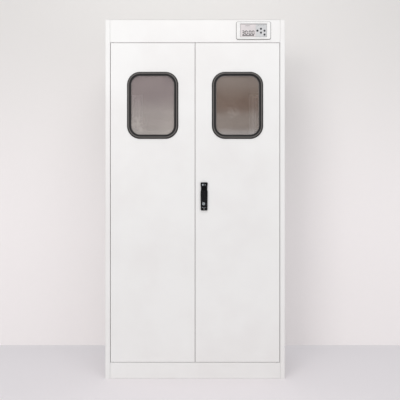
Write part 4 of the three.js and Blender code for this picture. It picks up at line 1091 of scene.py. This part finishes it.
def makeTube(l, x, name):
    thinner, sunk = l["tube"]
    length = l["high"] - l["low"] - 2 * l["cap"] + sunk
    return startRod(name, (x, l["y"], (l["low"] + l["high"]) / 2), l["radius"] - thinner, length, sides=48)


for side, label in ((-1, "left"), (1, "right")):
    x = side * lamp["x"]
    finished(makeCaps(lamp, x, label + "_lamp_caps"), "cabinet", capMetal, ["uv_lamp_" + label])
    finished(makeFilaments(lamp, x, label + "_lamp_filaments"), "cabinet", filamentMetal, angle=60)
    finished(makeTube(lamp, x, label + "_lamp_tube"), "cabinet", quartz)
print("lamps made")


# back: appliance inlet with its contacts and screws, and the rivets of the rear flanges
inlet = {
    "x": -0.330,
    "z": 1.738,
    "mouth": 0.22985,
    "flange": (0.050, 0.027, 0.0024, 0.006),   # width, height, thickness, corner
    "body": (0.028, 0.0205, 0.022),   # width, height, depth from the mouth
    "socket": (0.0245, 0.0165, 0.016, 0.0045),   # width, height, depth, chamfer of the upper corners
    "blade": (0.0020, 0.0040, 0.0030),   # width, height, how far below the mouth
    "blades": ((-0.007, -0.0020), (0.007, -0.0020), (0.0, 0.0020)),
    "screws": 0.0200,   # from the middle
    "head": (0.0028, 0.0014, 0.35, 0.00015),   # radius, depth, share of the radius at its tip, sunk by
    "seat": (0.0030, 0.00112),   # radii of the screws' seats
    "cross": (0.6, 0.00035, 0.0009),   # reach as a share of the radius, half width, depth
}


def makeInlet(n):
    x, z, mouth = n["x"], n["z"], n["mouth"]
    width, height, thick, corner = n["flange"]
    body = roundedPlate("inlet_body", (x, mouth - thick, z), width, height, corner, thick)
    pickBack()
    bpy.ops.mesh.region_to_loop()
    bevel(0.0007, 3)
    width, height, depth = n["body"]
    combine(body, startSlab("shell", x, z, width, height, mouth - depth, mouth - thick / 2))
    width, height, depth, chamfer = n["socket"]
    well = startSlab("well", x, z, width, height, mouth - depth, mouth + 0.002)
    pickEdges(lambda a, b: a.z > z and b.z > z and abs(a.x - b.x) < 1e-6)
    bpy.ops.mesh.bevel(offset=chamfer, segments=1)
    carve(body, well)
    wide, narrow = n["seat"]
    for side in (-1, 1):
        carve(body, startCone("seat", x + side * n["screws"], z, wide, narrow,
                              mouth - n["head"][1] + 0.00005, mouth + 0.00005))
    return body


def makeContacts(n):
    blades = []
    width, height, below = n["blade"]
    for dx, dz in n["blades"]:
        blades.append(startSlab("blade", n["x"] + dx, n["z"] + dz, width, height,
                                n["mouth"] - n["socket"][2] - 0.001, n["mouth"] - below))
        roundEdges(blades[-1], 0.0005, 2)
    return merged(blades, "inlet_contacts")


def makeInletScrews(n):
    heads = []
    radius, depth, tip, sunk = n["head"]
    share, half, deep = n["cross"]
    for side in (-1, 1):
        x, z, mouth = n["x"] + side * n["screws"], n["z"], n["mouth"]
        head = startCone("head", x, z, radius, radius * tip, mouth - depth - sunk, mouth - sunk)
        for turn in (25, 115):
            blade = startSlab("cross", x, z, 2 * radius * share, 2 * half, mouth - deep, mouth + 0.001)
            pickAll()
            bpy.ops.transform.rotate(value=math.radians(turn), orient_axis="Y", center_override=(x, 0, z))
            carve(head, blade)
        heads.append(head)
    return merged(heads, "inlet_screws")


finished(makeInlet(inlet), "cabinet", blackPlastic, ["mains_inlet"], angle=30)
finished(makeContacts(inlet), "cabinet", capMetal, angle=40)
finished(makeInletScrews(inlet), "cabinet", turnedSteel, angle=30)

rivets = {
    "x": 0.440,
    "levels": (0.06, 0.33, 0.60, 1.20, 1.47, 1.74),
    "seat": 0.22865,
    "radius": 0.0032,
    "height": 0.0011,
    "rim": 0.0008,
    "socket": ((0.0009, 0.0), (0.0004, -0.0005)),   # insets of the head: width, depth
}


def makeRivets(r):
    heads = []
    for side in (-1, 1):
        for level in r["levels"]:
            heads.append(startDisc("rivet", side * r["x"], level, r["radius"], r["seat"] - 0.0002,
                                   r["seat"] + r["height"], 24))
            pickBack()
            bevel(r["rim"], 3)
            pickFaces(lambda centre, normal: normal.y > 0.99)
            insets(r["socket"])
    return merged(heads, "rear_rivets")


finished(makeRivets(rivets), "cabinet", white, angle=40)
print("back dressed")


# fan guard under the ceiling: wire rings on four arms
guard = {
    "centre": (-0.150, 0.05865, 1.6833),
    "rings": (0.0125, 0.0215, 0.0305, 0.0395),
    "wire": 0.0009,
    "arm": 0.00096,
}


def makeGuard(g):
    x, y, z = g["centre"]
    outer, inner = g["rings"][-1], g["rings"][0]
    middle = (outer + inner) / 2
    parts = [startHoop(g["centre"], radius, g["wire"], 64, 10) for radius in g["rings"]]
    for turn in (45, 135, 225, 315):
        a = math.radians(turn)
        place = (x + middle * math.cos(a), y + middle * math.sin(a), z + g["wire"])
        parts.append(startRod("arm", place, g["arm"], outer - inner,
                              (math.radians(90), 0, a + math.radians(90)), 10))
    return merged(parts, "fan_guard")


finished(makeGuard(guard), "cabinet", stainless, angle=60)


# chamber lining: a bright steel sheet over the back panel, inside
lining = {
    "low": (-0.440, 0.2249, 0.100),
    "high": (0.440, 0.2256, 1.683),
    "seam": 0.0015,
    "joints": (0.62, 1.15),   # heights of the joints between the three sheets
}


def makeLining(l):
    sheet = startBox("chamber_lining", l["low"], l["high"])
    roundEdges(sheet, 0.0003, 2)
    left, front = l["low"][:2]
    for level in l["joints"]:
        carve(sheet, startSlab("joint", 0, level, 0.02 - 2 * left, l["seam"], front - 0.001, front + 0.0004))
    return sheet


finished(makeLining(lining), "cabinet", liningSteel)


# floor, wall and lights
room = {
    "floor": (linear(245, 239, 241), linear(245, 239, 241)),
    "wall": (linear(252, 247, 246), linear(227, 224, 221)),   # at the floor and above the cabinet: paler low down as painted light, darker high up as painted shade
    "rise": (0.6, 2.3),   # heights between which the wall goes from one tone to the other
    "wallY": 0.36,
    "span": 9.0,
    "height": 6.0,
    "sky": (0.96, 0.98, 1.0, 1.0),
    "skyStrength": 0.64,
}


def stageFinish(name, tones, seenFromBehind=True):
    s = Shade(name)
    grain = s.noise(60.0, 3.0)
    # the tone by height is painted light low down and painted shade high up; the floor's two tones are the
    # same
    height = s.axes()[2].rise(*room["rise"])
    colour = s.blend(height, *tones)
    colour = s.blend(grain * 0.05, colour, (0.6, 0.6, 0.6, 1.0))
    matt = s.surface(Base_Color=colour, Roughness=0.85, Specular_IOR_Level=0.2)
    if seenFromBehind:
        return s.done(matt)
    # A view from behind looks through the wall, and it keeps no light from the back panel
    back = s.node("ShaderNodeNewGeometry", out="Backfacing")
    rays = s.node("ShaderNodeLightPath").socket.node.outputs
    seen = Val(s, rays["Is Camera Ray"]) + Val(s, rays["Is Glossy Ray"]) + Val(s, rays["Is Transmission Ray"])
    hidden = 1 - seen * (1 - back)
    through = s.node("ShaderNodeBsdfTransparent")
    return s.done(s.node("ShaderNodeMixShader", None, [hidden, matt, through]))


def stagePlane(name, place, size, turn, material):
    rest()
    bpy.ops.mesh.primitive_plane_add(size=1, location=place, rotation=turn)
    bpy.context.object.scale = size
    plane = applied(name)
    wear(plane, material)


stagePlane("floor", (0, 0, 0), (room["span"], room["span"], 1), (0, 0, 0),
           stageFinish("floorMatt", room["floor"]))
stagePlane("wall", (0, room["wallY"], room["height"] / 2), (room["span"], room["height"], 1), facing,
           stageFinish("wallMatt", room["wall"], False))

world = bpy.data.worlds.new("softSky")
scene.world = world
world.use_nodes = True
sky = world.node_tree.nodes["Background"].inputs
sky["Color"].default_value = room["sky"]
sky["Strength"].default_value = room["skyStrength"]

lamps = {
    "key": {"place": (-2.5, -5.6, 2.0), "aim": (0.1, 0.0, 0.7), "size": 2.2, "power": 64.0,
            "colour": (1.0, 0.985, 0.965)},
    "fill": {"place": (2.4, -2.9, 0.5), "aim": (0.2, 0.0, 0.6), "size": 2.2, "power": 10.5,
             "colour": (0.98, 0.99, 1.0)},
    "top": {"place": (0.0, -1.3, 3.0), "aim": (0.0, -0.2, 1.2), "size": 1.6, "power": 15.5,
            "colour": (1.0, 1.0, 1.0)},
}
for name, lamp in lamps.items():
    data = bpy.data.lights.new(name, "AREA")
    data.size = lamp["size"]
    data.energy = lamp["power"]
    data.color = lamp["colour"]
    light = bpy.data.objects.new(name, data)
    light.location = lamp["place"]
    light.rotation_euler = (Vector(lamp["aim"]) - Vector(lamp["place"])).to_track_quat("-Z", "Y").to_euler()
    scene.collection.objects.link(light)
print("room and lights set")
